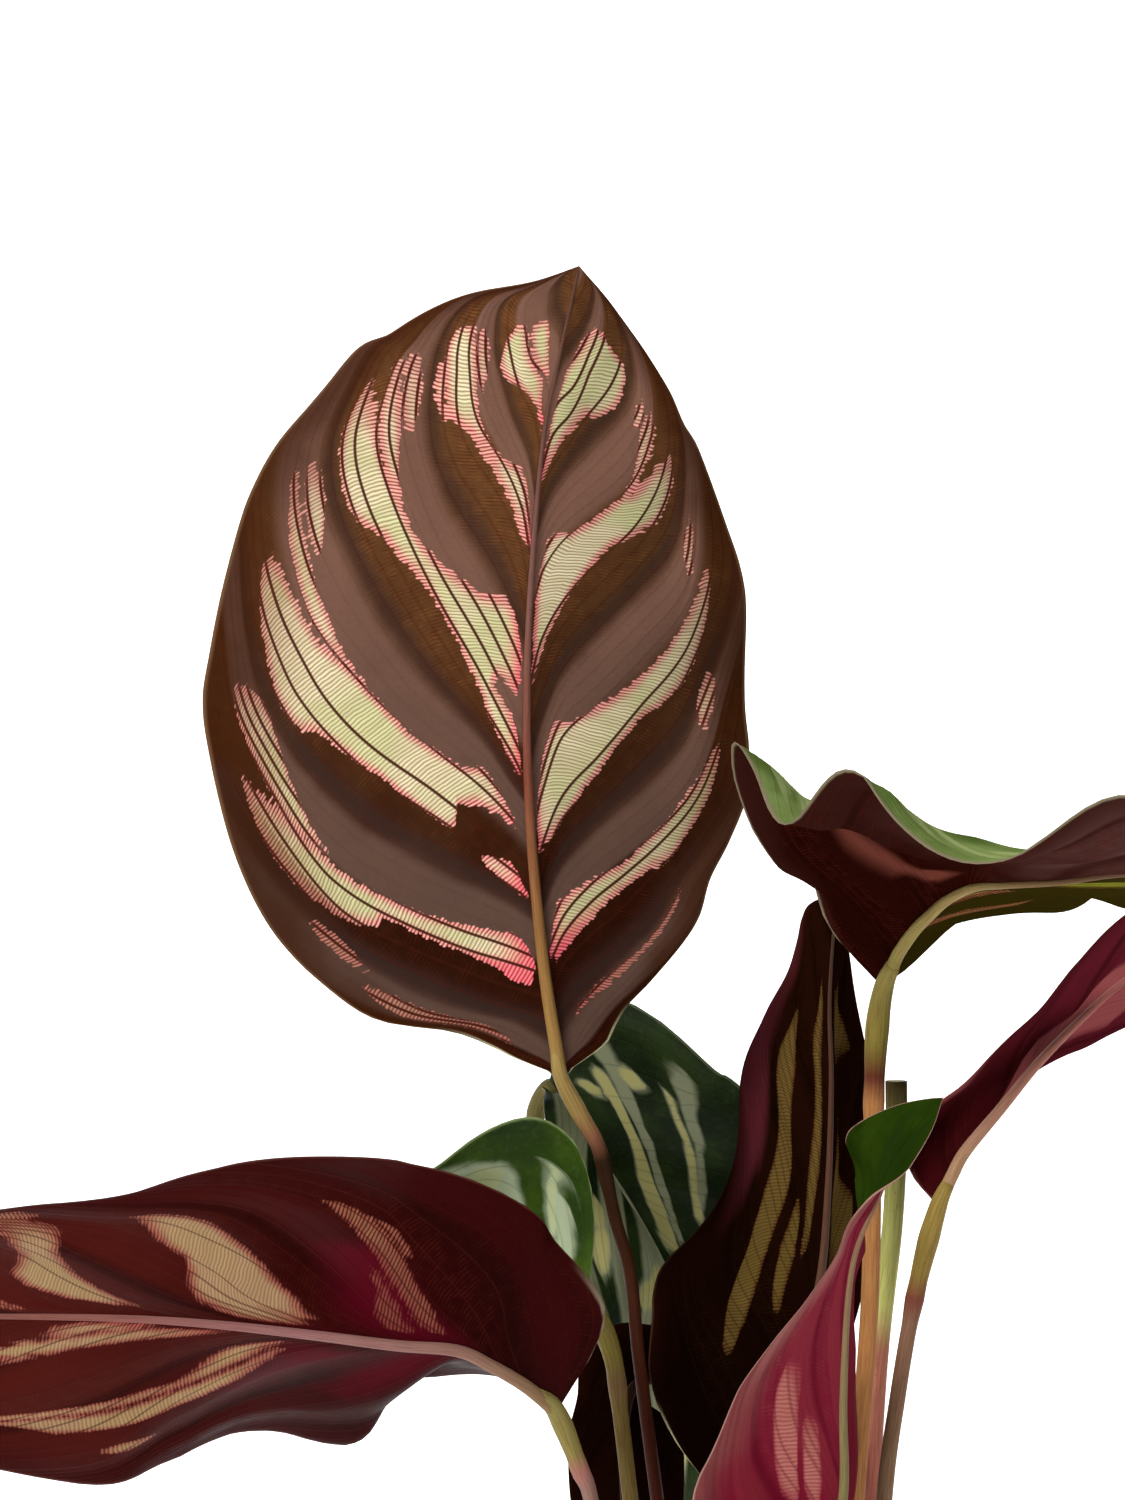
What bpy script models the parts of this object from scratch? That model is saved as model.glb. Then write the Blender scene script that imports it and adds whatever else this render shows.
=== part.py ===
# A potted calathea: a plain round grower's pot, the potting mix in it, and the leaves that stand in the mix.
# Each leaf is two pieces, a stalk and a blade. One old stalk has lost its blade and ends in a clean cut.
# Lengths are in metres unless a name or a comment says millimetres. +Z is up, the front of the plant faces
# -Y, and the origin is the middle of the pot's flat base.

import bmesh
import bpy
import numpy as np

MM = 0.001

# Driving dimensions. WAVE_EDGE is the power by which a blade's wave grows towards its margin, WAVE_WIDTH the
# half width below which it fades, and the LOBE shares are where a lobe at the blade's base starts and ends.
POT_HEIGHT = 0.118
POT_BASE_RADIUS = 0.047
POT_BAND_RADIUS = 0.065
POT_LIP_RADIUS = 0.0695
POT_WALL = 0.0016
POT_FLOOR = 0.0022
BAND_STEP = 0.0025
LIP_STEP = 0.002
BAND_HEIGHT = 0.022
DRAIN_HOLE_RADIUS = 0.0045
DRAIN_CIRCLE_RADIUS = 0.030
DRAIN_HOLES = 6
SOIL_LEVEL = 0.106
SOIL_MOUND = 0.004
SOIL_RELIEF = 0.0012
BRIM_DROP = 0.002
GAP = 0.0003
FOOT_GAP = 0.0004
HOLE_CLEARANCE = 0.0005
BLADE_THICKNESS = 0.0008
RIB_HEIGHT = 0.0012
BLADE_FOOT = 0.0015
WAVE_EDGE = 2.2
WAVE_WIDTH = 0.012
LOBE_START = 0.08
LOBE_END = 0.3

# Mesh fineness. ROW_EVENNESS says how evenly a blade's rows are spaced: below 1 they crowd at its two ends.
POT_SEGMENTS = 40
SOIL_RINGS = 7
STALK_SIDES = 8
STALK_STEP = 0.011
BLADE_ROWS = 17
FINE_BLADE_ROWS = 26
ROW_EVENNESS = 0.45
BLADE_COLUMNS = (-1.0, -0.74, -0.46, -0.2, -0.05, 0.0, 0.05, 0.2, 0.46, 0.74, 1.0)
FINE_BLADES = ("tall", "spreading")
MERGE_DISTANCE = 0.00002
SHARP_DEGREES = 40
SEED = 7

COLOURS = {
    "pot": ((0.035, 0.036, 0.038, 1.0), 0.55),
    "soil": ((0.045, 0.028, 0.018, 1.0), 0.95),
    "stalk": ((0.20, 0.13, 0.05, 1.0), 0.45),
    "blade": ((0.13, 0.03, 0.025, 1.0), 0.40),
}

# Half width of an ordinary blade, as a share of its widest, at shares of the length from base to tip
OVAL = [(0, 0), (0.02, 0.26), (0.06, 0.5), (0.13, 0.75), (0.24, 0.93), (0.38, 1.0), (0.52, 0.98),
        (0.65, 0.89), (0.77, 0.72), (0.87, 0.5), (0.94, 0.29), (0.98, 0.12), (1, 0)]

# The tall leaf is wider on its left. The outlines are half widths in millimetres at shares of the length.
TALL_LEFT = [(0, 0), (0.03, 9), (0.05, 14), (0.075, 22), (0.1, 37), (0.14, 47), (0.18, 54), (0.23, 60),
             (0.3, 65), (0.4, 70), (0.46, 71.5), (0.52, 69.5), (0.64, 65.5), (0.7, 62), (0.76, 56),
             (0.82, 46), (0.87, 37), (0.91, 29), (0.94, 21), (0.97, 9), (1, 0)]
TALL_RIGHT = [(0, 0), (0.03, 11), (0.05, 15), (0.075, 21), (0.1, 26), (0.14, 32.5), (0.18, 38), (0.23, 42),
              (0.28, 48), (0.34, 53.5), (0.4, 54.5), (0.46, 53.5), (0.58, 52), (0.64, 49.5), (0.7, 44.5),
              (0.76, 39), (0.82, 33), (0.87, 26), (0.91, 19), (0.94, 13), (0.97, 7), (1, 0)]
LOBED_UPPER = [(0, 0), (0.01, 11), (0.03, 21), (0.06, 25), (0.1, 28), (0.15, 33), (0.2, 38), (0.3, 42),
               (0.45, 45), (0.6, 43), (0.72, 37), (0.84, 26), (0.93, 13), (1, 0)]
NODDING_LEFT = [(0, 0), (0.03, 3), (0.08, 9), (0.15, 18), (0.25, 26), (0.4, 31), (0.55, 30), (0.7, 25),
                (0.85, 15), (0.94, 8), (1, 0)]
SMALL_UPPER = [(0, 0), (0.02, 4), (0.05, 10), (0.08, 18), (0.1, 25), (0.12, 31), (0.16, 35), (0.22, 34),
               (0.3, 31), (0.45, 28), (0.6, 23), (0.8, 12), (1, 0)]
SHADED_LEFT = [(0, 0), (0.04, 15), (0.1, 26), (0.2, 33), (0.36, 36), (0.5, 34), (0.62, 31), (0.74, 25),
               (0.85, 15), (0.93, 8), (1, 0)]
SPREADING_LEFT = [(0, 0), (0.02, 9), (0.05, 15), (0.08, 21), (0.12, 29), (0.17, 38), (0.22, 45), (0.3, 51),
                  (0.5, 51), (0.65, 46), (0.77, 37), (0.87, 26), (0.94, 15), (1, 0)]
YOUNG_LEFT = [(0, 0), (0.04, 10), (0.12, 22), (0.24, 30), (0.33, 30), (0.45, 25), (0.55, 20), (0.65, 14),
              (0.75, 10), (0.82, 7), (0.88, 5), (0.94, 3), (1, 0)]

# Stalk radius in millimetres at shares of the way from root to blade: sheath, stalk, node, swollen top joint
STALK_RADII = [(0, 3.0), (0.22, 2.9), (0.42, 1.9), (0.85, 1.8), (0.9, 2.0), (0.94, 2.3), (1, 1.9)]

# Leaves, in millimetres. "midrib" runs from the blade's base to its tip, "stalk" from the root to the blade's
# base, and "upper_side" says where the blade's upper side faces at shares of its length. Left and right are
# seen from the underside with the tip up: "left" and "right" are half widths or outlines, and the folds are
# angles in degrees by which each half rises towards the upper side. "wave" is how many waves a margin has,
# then their height and start on the left, and their height and start on the right. "right_lobe" is how far
# the right half reaches back past the blade's base.
LEAVES = {
    "tall_leaf": {
        "midrib": [(-45, 0, 326), (-49, 4, 352), (-52, 8, 387), (-52, 8, 422), (-49, 4, 461), (-46, 0, 477),
                   (-41, -6, 499)],
        "stalk": [(-6, 4, 80), (-10, 4, 130), (-18, 6, 190), (-24, 6, 233), (-28, 5, 264), (-30, 3, 283),
                  (-33, 2, 294), (-35, 1, 303), (-37, 0, 311), (-41, 0, 318)],
        "upper_side": [(0, (0, 1, 0)), (1, (0, 1, 0))],
        "left": TALL_LEFT, "right": TALL_RIGHT,
        "left_fold": [(0, 4), (1, 4)], "right_fold": [(0, 20), (0.4, 25), (1, 15)],
        "wave": (4.5, 2.2, 0.35, 2.2, 0),
    },
    "left_leaf": {
        "midrib": [(-46, -22, 259), (-52, -27, 265), (-59, -31, 270), (-66, -35, 274), (-78, -40, 276),
                   (-94, -45, 279), (-112, -50, 282), (-130, -54, 284), (-155, -57, 285), (-178, -58, 285),
                   (-205, -54, 281)],
        "stalk": [(-19, -9, 80), (-23, -10, 130), (-31, -14, 190), (-38, -18, 236), (-41, -19, 246)],
        "upper_side": [(0, (0, 1, 0)), (1, (0, 1, 0))],
        "left": 49, "right": LOBED_UPPER,
        "left_fold": [(0, 80), (0.1, 62), (0.22, 46), (0.32, 54), (0.42, 48), (0.56, 32), (1, 24)],
        "right_fold": [(0, 5), (0.1, 16), (0.2, 26), (0.35, 46), (0.5, 62), (0.6, 67), (1, 60)],
        "wave": (3.0, 1.5, 0.35, 1.5, 0),
    },
    "nodding_leaf": {
        "midrib": [(-48, 77, 315), (-45, 72, 313), (-40, 68, 308), (-35, 67, 299), (-30, 66, 291),
                   (-24, 67, 281), (-19, 70, 271), (-16, 74, 261), (-12, 78, 250), (-10, 82, 239),
                   (-9, 88, 222), (-10, 94, 205)],
        "stalk": [(-13, 22, 80), (-17, 30, 130), (-24, 42, 190), (-33, 57, 240), (-45, 74, 275),
                  (-51, 84, 296), (-51, 83, 308)],
        "upper_side": [(0, (0, -1, 0)), (1, (0, -1, 0.1))],
        "left": NODDING_LEFT, "right": 43, "right_lobe": 22,
        "left_fold": [(0, 50), (1, 50)], "right_fold": [(0, 20), (1, 24)],
        "wave": (2.6, 2.5, 0.35, 2.5, 0),
    },
    "small_leaf": {
        "midrib": [(-39, 4, 277), (-48, 8, 281), (-61, 14, 281), (-74, 20, 278), (-88, 24, 272),
                   (-103, 26, 263), (-117, 24, 250)],
        "stalk": [(-14, 2, 80), (-18, 1, 130), (-25, -1, 190), (-30, -2, 235), (-32, 0, 252), (-34, 3, 266)],
        "upper_side": [(0, (0, -1, 0.1)), (1, (0, -1, 0.1))],
        "left": SMALL_UPPER, "right": 18,
        "left_fold": [(0, 0), (0.15, 4), (0.22, 28), (0.3, 44), (1, 50)],
        "right_fold": [(0, 20), (0.4, 45), (1, 55)],
        "wave": (2.0, 1.5, 0.35, 1.5, 0),
    },
    "shaded_leaf": {
        "midrib": [(-10, 12, 232), (-1, 12, 247), (7, 14, 262), (12, 16, 279), (14, 18, 299), (15, 21, 322),
                   (15, 25, 341), (17, 30, 364)],
        "stalk": [(2, 12, 80), (0, 13, 130), (-7, 13, 185), (-13, 12, 218)],
        "upper_side": [(0, (0, 1, 0)), (1, (0, 1, 0))],
        "left": SHADED_LEFT, "right": 30,
        "left_fold": [(0, 2), (0.28, 6), (0.42, 42), (0.55, 56), (0.75, 50), (1, 50)],
        "right_fold": [(0, 64), (1, 64)],
        "wave": (2.4, 1.5, 0.35, 1.5, 0),
    },
    "spreading_leaf": {
        "midrib": [(24, -2, 346), (26, -6, 352), (27, -11, 355), (29, -17, 359), (31, -23, 362),
                   (34, -32, 366), (38, -43, 369), (43, -55, 370), (51, -68, 371), (62, -81, 373),
                   (81, -93, 373), (104, -101, 370)],
        "stalk": [(9, 3, 80), (12, 1, 130), (16, -1, 190), (18, -3, 235), (21, -4, 278), (22, -3, 321),
                  (23, -1, 337)],
        "upper_side": [(0, (-0.3, 0.6, 0.7)), (0.15, (-0.2, 0.2, 1)), (0.4, (0, 0, 1)), (1, (0, 0, 1))],
        "left": SPREADING_LEFT, "right": 38,
        "left_fold": [(0, 50), (0.15, 42), (0.3, 31), (0.4, 23), (0.5, 17), (0.65, 13), (1, 8)],
        "right_fold": [(0, 20), (0.08, 10), (0.2, -3), (0.35, -7), (1, -7)],
        "wave": (4.2, 7.5, 0.02, 2.5, 0),
    },
    "right_leaf": {
        "midrib": [(36, -2, 299), (39, -1, 305), (42, 0, 310), (50, 2, 319), (59, 5, 329), (70, 9, 339),
                   (79, 12, 346), (94, 16, 355), (120, 22, 364)],
        "stalk": [(18, -6, 80), (19, -6, 130), (21, -6, 190), (24, -5, 236), (27, -4, 258), (30, -3, 275),
                  (33, -2, 288)],
        "upper_side": [(0, (0, 1, 0)), (1, (0, 1, 0))],
        "left": 31, "right": 30,
        "left_fold": [(0, 50), (0.07, 60), (0.14, 71), (0.22, 79), (0.34, 85), (0.52, 87), (0.64, 77),
                      (0.8, 66), (1, 55)],
        "right_fold": [(0, 82), (0.34, 80), (0.44, 76), (0.56, 64), (0.7, 57), (1, 50)],
        "wave": (2.2, 2.0, 0.35, 2.0, 0),
    },
    "young_leaf": {
        "midrib": [(2, -22, 200), (9, -25, 220), (13, -28, 242), (13, -29, 262), (14, -29, 283),
                   (16, -30, 294), (20, -32, 303), (23, -34, 309), (27, -37, 315), (33, -41, 322)],
        "stalk": [(4, -14, 80), (2, -17, 120), (-1, -20, 160), (0, -22, 188)],
        "upper_side": [(0, (0, 1, 0)), (0.7, (0, 1, 0)), (0.79, (-0.85, 0.1, 0.5)), (0.88, (-0.2, -1, 0.2)),
                       (1, (0, -1, 0.2))],
        "left": YOUNG_LEFT, "right": 20,
        "left_fold": [(0, 10), (0.33, 12), (0.49, 30), (0.62, 50), (0.75, 64), (0.85, 20), (1, 0)],
        "right_fold": [(0, 75), (0.7, 78), (0.8, 15), (0.88, 0), (1, 0)],
        "wave": (2.0, 0.8, 0.35, 0.8, 0),
    },
    "low_leaf": {
        "midrib": [(-18, 34, 252), (-23, 31, 255), (-29, 27, 253), (-31, 24, 243), (-31, 22, 229),
                   (-30, 22, 212), (-29, 24, 192)],
        "stalk": [(0, 24, 80), (-3, 25, 130), (-8, 29, 190), (-10, 34, 232), (-13, 36, 246)],
        "upper_side": [(0, (0.2, 0.9, 0.3)), (0.3, (0, 1, 0)), (1, (0, 1, 0))],
        "left": 20, "right": 20,
        "left_fold": [(0, 45), (1, 45)], "right_fold": [(0, 55), (1, 50)],
        "wave": (2.0, 1.0, 0.35, 1.0, 0),
    },
}

CUT_STALK = [(16, 10, 80), (18, 8, 130), (21, 6, 190), (22, 5, 234), (24, 6, 266), (27, 7, 292), (28, 8, 309),
             (28, 8, 324)]


def clear_scene():
    for obj in list(bpy.data.objects):
        bpy.data.objects.remove(obj)


def make_material(name):
    colour, roughness = COLOURS[name]
    material = bpy.data.materials.new(name)
    material.use_nodes = True
    shader = material.node_tree.nodes["Principled BSDF"]
    shader.inputs["Base Color"].default_value = colour
    shader.inputs["Roughness"].default_value = roughness
    return material


def add_object(name, points, faces, material=None):
    """Makes one closed mesh object, with points that coincide made one and its faces turned outwards."""
    mesh = bpy.data.meshes.new(name)
    bm = bmesh.new()
    corners = [bm.verts.new(point) for point in points]
    for face in faces:
        bm.faces.new([corners[i] for i in face])
    bmesh.ops.remove_doubles(bm, verts=bm.verts, dist=MERGE_DISTANCE)
    bmesh.ops.recalc_face_normals(bm, faces=bm.faces)
    bm.to_mesh(mesh)
    bm.free()
    mesh.shade_smooth()
    mesh.set_sharp_from_angle(angle=np.radians(SHARP_DEGREES))
    obj = bpy.data.objects.new(name, mesh)
    bpy.context.scene.collection.objects.link(obj)
    if material:
        mesh.materials.append(material)
    return obj


def smooth_curve(points, steps=24):
    """A Catmull-Rom curve through the points, with this many steps between each two."""
    p = np.array(points, float)
    p = np.vstack([2 * p[0] - p[1], p, 2 * p[-1] - p[-2]])
    t = np.linspace(0, 1, steps, endpoint=False)[:, None]
    spans = []
    for a, b, c, d in zip(p, p[1:], p[2:], p[3:]):
        square = (2 * a - 5 * b + 4 * c - d) * t**2
        cube = (3 * b - a - 3 * c + d) * t**3
        spans.append(0.5 * (2 * b + (c - a) * t + square + cube))
    return np.vstack(spans + [p[-2:-1]])


def along(points, shares):
    """Points of the smooth curve at these shares of its length."""
    curve = smooth_curve(points)
    length = np.concatenate([[0], np.cumsum(np.linalg.norm(np.diff(curve, axis=0), axis=1))])
    return np.column_stack([np.interp(shares * length[-1], length, curve[:, k]) for k in range(3)])


def unit(vectors):
    return vectors / np.linalg.norm(vectors, axis=-1, keepdims=True)


def ahead_of(points, shares):
    """Direction of the smooth curve at these shares of its length."""
    reach = 0.004
    return unit(along(points, np.minimum(shares + reach, 1)) - along(points, np.maximum(shares - reach, 0)))


def steps_of(pairs, shares):
    """Numbers or vectors read between the pairs of share and value."""
    keys, values = zip(*pairs)
    values = np.array(values, float)
    if values.ndim == 1:
        return np.interp(shares, keys, values)
    return np.column_stack([np.interp(shares, keys, values[:, k]) for k in range(values.shape[1])])


def half_width(outline, shares):
    """Half width in metres from an outline, or from the widest half width of an ordinary blade."""
    pairs = outline if isinstance(outline, list) else [(v, w * outline) for v, w in OVAL]
    curve = smooth_curve(pairs, 12)
    wide = np.interp(shares, curve[:, 0], np.maximum(curve[:, 1], 0)) * MM
    return np.maximum(wide, BLADE_FOOT * np.clip(1 - 4 * shares, 0, 1))


def blade_surface(leaf, shares, columns):
    """Middle surface of a blade: midrib point, plus the half width turned by the fold, plus the wave."""
    spine = along(np.array(leaf["midrib"]) * MM, shares)
    ahead = ahead_of(np.array(leaf["midrib"]) * MM, shares)
    up = steps_of(leaf["upper_side"], shares)
    up = unit(up - (up * ahead).sum(1, keepdims=True) * ahead)
    right = np.cross(up, ahead)
    across = np.array(columns)[None, :]
    side_is_right = across >= 0
    right_wide, left_wide = half_width(leaf["right"], shares), half_width(leaf["left"], shares)
    right_fold, left_fold = steps_of(leaf["right_fold"], shares), steps_of(leaf["left_fold"], shares)
    wide = np.where(side_is_right, right_wide[:, None], left_wide[:, None])
    fold = np.radians(np.where(side_is_right, right_fold[:, None], left_fold[:, None]))
    count, left_height, left_start, right_height, right_start = leaf["wave"]
    start = np.where(side_is_right, right_start, left_start)
    height = np.where(side_is_right, right_height, left_height) * MM
    wave = height * np.sin(2 * np.pi * (count * shares[:, None] + start)) * np.abs(across) ** WAVE_EDGE
    wave = wave * np.clip(wide / WAVE_WIDTH, 0, 1)
    reach = across * wide * np.cos(fold)
    rise = np.abs(across) * wide * np.sin(fold) + wave
    near_base = np.clip(1 - shares / LOBE_END, 0, 1) ** 2 * np.clip(shares / LOBE_START, 0, 1) ** 2
    lobe = leaf.get("right_lobe", 0) * MM * np.maximum(across, 0) * near_base[:, None]
    return (spine[:, None] + reach[..., None] * right[:, None] + rise[..., None] * up[:, None]
            - lobe[..., None] * ahead[:, None])


def make_blade(name, leaf, material):
    """A closed blade: the upper side, the underside with the rib raised on it, and the edge between them."""
    t = np.linspace(0, 1, FINE_BLADE_ROWS if name.startswith(FINE_BLADES) else BLADE_ROWS)
    shares = ROW_EVENNESS * t + (1 - ROW_EVENNESS) * (1 - np.cos(np.pi * t)) / 2
    middle = blade_surface(leaf, shares, BLADE_COLUMNS)
    normal = unit(np.cross(np.gradient(middle, axis=1)[:-1], np.gradient(middle, axis=0)[:-1]))
    centre = len(BLADE_COLUMNS) // 2
    normal[0] = normal[0, centre]
    normal = np.concatenate([normal, np.repeat(normal[-1:, centre:centre + 1], len(BLADE_COLUMNS), axis=1)])
    rib = np.where(np.array(BLADE_COLUMNS) == 0, RIB_HEIGHT, 0)[None, :] * (1 - shares)[:, None]
    half = BLADE_THICKNESS / 2
    upper = middle - normal * half
    under = middle + normal * (half + rib)[..., None]
    rows, columns = middle.shape[:2]
    count = (rows - 1) * columns + 1
    place = np.minimum(np.arange(rows * columns), count - 1).reshape(rows, columns)
    points = np.vstack([upper.reshape(-1, 3)[:count], under.reshape(-1, 3)[:count]])
    faces = []
    for i in range(rows - 1):
        for j in range(columns - 1):
            a, b, c, d = place[i, j], place[i, j + 1], place[i + 1, j + 1], place[i + 1, j]
            faces += [(a, b, c), (a, c, d)]
            faces += [(count + a, count + c, count + b), (count + a, count + d, count + c)]
    rim = [*place[::-1, 0], *place[0, 1:], *place[1:, -1]]
    for a, b in zip(rim, rim[1:]):
        faces += [(b, a, count + a), (b, count + a, count + b)]
    return add_object(name, points, [face for face in faces if len(set(face)) == 3], material)


def tube(path, ahead, radii, sides=STALK_SIDES):
    """Points and faces of a closed round tube along the path."""
    first = [unit(np.cross(ahead[0], np.array([0.0, 1.0, 0.25])))]
    for direction in ahead[1:]:
        first.append(unit(first[-1] - (first[-1] @ direction) * direction))
    first = np.array(first)
    second = np.cross(ahead, first)
    angle = 2 * np.pi * np.arange(sides) / sides
    ring = np.cos(angle)[None, :, None] * first[:, None] + np.sin(angle)[None, :, None] * second[:, None]
    points = (path[:, None] + ring * np.asarray(radii)[:, None, None]).reshape(-1, 3)
    faces = [tuple(range(sides)), tuple(range(len(points) - sides, len(points)))]
    for i in range(len(path) - 1):
        for j in range(sides):
            k = (j + 1) % sides
            faces.append((i * sides + j, i * sides + k, (i + 1) * sides + k, (i + 1) * sides + j))
    return points, faces


def stalk_line(points, end_ahead=None):
    """Path of a stalk from its root in rings about one step apart, its direction at each and the radius."""
    metres = np.array(points, float) * MM
    length = np.linalg.norm(np.diff(smooth_curve(metres), axis=0), axis=1).sum()
    shares = np.linspace(0, 1, int(round(length / STALK_STEP)) + 1)
    ahead = ahead_of(metres, shares)
    if end_ahead is not None:
        ahead[-1] = end_ahead
    return along(metres, shares), ahead, steps_of(STALK_RADII, shares) * MM


def leaf_stalk_line(leaf):
    """A leaf's stalk ends square to its blade's midrib, a small gap short of the blade."""
    midrib = np.array(leaf["midrib"], float)
    ahead = ahead_of(midrib, np.array([0.0]))[0]
    return stalk_line([*leaf["stalk"], tuple(midrib[0] - ahead * FOOT_GAP / MM)], ahead)


def revolve(profile, segments):
    """Points and faces of a closed turned shape. The profile's first and last points lie on the axis."""
    angle = 2 * np.pi * np.arange(segments) / segments
    points = [(0, 0, profile[0][1])]
    for radius, z in profile[1:-1]:
        points += [(radius * np.cos(a), radius * np.sin(a), z) for a in angle]
    points.append((0, 0, profile[-1][1]))
    last = len(points) - 1
    faces = []
    for j in range(segments):
        k = (j + 1) % segments
        faces.append((0, 1 + k, 1 + j))
        for i in range(len(profile) - 3):
            a, b = 1 + i * segments, 1 + (i + 1) * segments
            faces.append((a + j, a + k, b + k, b + j))
        top = 1 + (len(profile) - 3) * segments
        faces.append((top + j, top + k, last))
    return np.array(points, float), faces


def cut(obj, cutter, number):
    """Takes the cutter's shape out of the object. The cutter is a helper and isn't part of the plant."""
    cutter.hide_render = True
    cutter.display_type = "WIRE"
    modifier = obj.modifiers.new(f"cut_{number}", "BOOLEAN")
    modifier.operation = "DIFFERENCE"
    modifier.solver = "EXACT"
    modifier.object = cutter


def pot_inside():
    """Radius and height up the pot's inside: floor edge, wall foot, knee below the band, shoulder and lip."""
    foot = POT_BASE_RADIUS - POT_WALL
    band_foot = POT_HEIGHT - BAND_HEIGHT
    return [
        (foot - 1 * MM, POT_FLOOR), (foot, POT_FLOOR + 1 * MM),
        (POT_BAND_RADIUS - BAND_STEP - POT_WALL, band_foot - 1.6 * MM),
        (POT_BAND_RADIUS - POT_WALL, band_foot + 0.4 * MM),
        (POT_LIP_RADIUS - LIP_STEP - POT_WALL, POT_HEIGHT),
    ]


def make_pot(material):
    """A tapered pot with a wider band under its lip and a ring of drain holes in its flat floor."""
    band_foot = POT_HEIGHT - BAND_HEIGHT
    chamfer = 2 * MM
    profile = [
        (0, 0), (POT_BASE_RADIUS - chamfer, 0), (POT_BASE_RADIUS, chamfer),
        (POT_BAND_RADIUS - BAND_STEP, band_foot - 2 * MM), (POT_BAND_RADIUS, band_foot),
        (POT_LIP_RADIUS - LIP_STEP, POT_HEIGHT - 2.5 * MM), (POT_LIP_RADIUS, POT_HEIGHT - 1.6 * MM),
        (POT_LIP_RADIUS, POT_HEIGHT), *reversed(pot_inside()), (0, POT_FLOOR),
    ]
    pot = add_object("pot", *revolve(profile, POT_SEGMENTS), material)
    for number in range(DRAIN_HOLES):
        angle = 2 * np.pi * (number + 0.3) / DRAIN_HOLES
        middle = np.array([np.cos(angle), np.sin(angle), 0]) * DRAIN_CIRCLE_RADIUS
        reach = np.array([0, 0, 3 * POT_FLOOR])
        path = np.array([middle - reach, middle + reach])
        upright = np.array([[0.0, 0.0, 1.0]] * 2)
        cutter = add_object(f"drain_cutter_{number}", *tube(path, upright, [DRAIN_HOLE_RADIUS] * 2, 12))
        cut(pot, cutter, number)
    return pot


def soil_height(x, y):
    """A low mound with small uneven lumps."""
    random = np.random.default_rng(SEED)
    waves = random.uniform(60, 210, (6, 2)) * random.choice([-1, 1], (6, 2))
    turns = random.uniform(0, 2 * np.pi, 6)
    lumps = sum(np.sin(a * x + b * y + t) for (a, b), t in zip(waves, turns)) / len(turns)
    mound = SOIL_MOUND * np.exp(-(x**2 + y**2) / (0.035**2))
    return SOIL_LEVEL + mound + SOIL_RELIEF * lumps


def make_soil(material, lines):
    """The potting mix fills the pot a small gap clear of its walls. Each stalk stands in a plain hole."""
    clear = 1.25 * GAP
    floor_edge, foot, knee, shoulder, lip = pot_inside()
    lean = (lip[0] - shoulder[0]) / (lip[1] - shoulder[1])
    brim = shoulder[0] + lean * (SOIL_LEVEL - BRIM_DROP - shoulder[1]) - clear
    profile = [
        (0, POT_FLOOR + GAP), (floor_edge[0] - clear, POT_FLOOR + GAP), (foot[0] - clear, foot[1] + GAP),
        (knee[0] - clear, knee[1] + 0.1 * MM), (shoulder[0] - 1.2 * clear, shoulder[1] + 0.25 * MM),
        (brim, SOIL_LEVEL - BRIM_DROP), (brim - 0.4 * MM, SOIL_LEVEL),
    ]
    profile += [(brim * (1 - i / SOIL_RINGS), SOIL_LEVEL) for i in range(1, SOIL_RINGS)]
    profile.append((0, SOIL_LEVEL))
    points, faces = revolve(profile, POT_SEGMENTS)
    top = points[:, 2] >= SOIL_LEVEL - 1e-9
    points[top, 2] = soil_height(points[top, 0], points[top, 1])
    soil = add_object("soil", points, faces, material)
    for number, (path, ahead, radii) in enumerate(lines):
        rings = int(np.searchsorted(path[:, 2], SOIL_LEVEL + 12 * MM)) + 1
        hole = path[:rings].copy()
        hole[0] -= ahead[0] * HOLE_CLEARANCE
        shape = tube(hole, ahead[:rings], radii[:rings] + HOLE_CLEARANCE)
        cutter = add_object(f"stalk_hole_cutter_{number}", *shape)
        cut(soil, cutter, number)
    return soil


def main():
    clear_scene()
    materials = {name: make_material(name) for name in COLOURS}
    make_pot(materials["pot"])
    lines = [leaf_stalk_line(leaf) for leaf in LEAVES.values()]
    for (name, leaf), line in zip(LEAVES.items(), lines):
        add_object(f"{name}_stalk", *tube(*line), materials["stalk"])
        make_blade(f"{name}_blade", leaf, materials["blade"])
    cut_line = stalk_line(CUT_STALK)
    add_object("cut_stalk", *tube(*cut_line), materials["stalk"])
    make_soil(materials["soil"], [*lines, cut_line])


main()
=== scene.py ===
import bpy
import numpy as np
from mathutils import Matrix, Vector


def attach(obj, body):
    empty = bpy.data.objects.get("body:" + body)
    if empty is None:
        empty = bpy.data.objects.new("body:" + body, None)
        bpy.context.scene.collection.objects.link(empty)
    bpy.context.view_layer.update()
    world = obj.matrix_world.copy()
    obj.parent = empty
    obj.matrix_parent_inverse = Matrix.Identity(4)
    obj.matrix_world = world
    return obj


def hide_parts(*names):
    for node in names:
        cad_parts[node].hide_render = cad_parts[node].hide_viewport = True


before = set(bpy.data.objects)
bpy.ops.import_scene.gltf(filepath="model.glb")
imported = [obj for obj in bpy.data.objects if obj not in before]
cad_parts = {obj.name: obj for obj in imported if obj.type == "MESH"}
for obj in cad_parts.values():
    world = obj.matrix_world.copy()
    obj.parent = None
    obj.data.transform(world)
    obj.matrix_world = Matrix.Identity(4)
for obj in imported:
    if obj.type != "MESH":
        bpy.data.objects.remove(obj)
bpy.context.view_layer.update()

mm = 0.001


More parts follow.
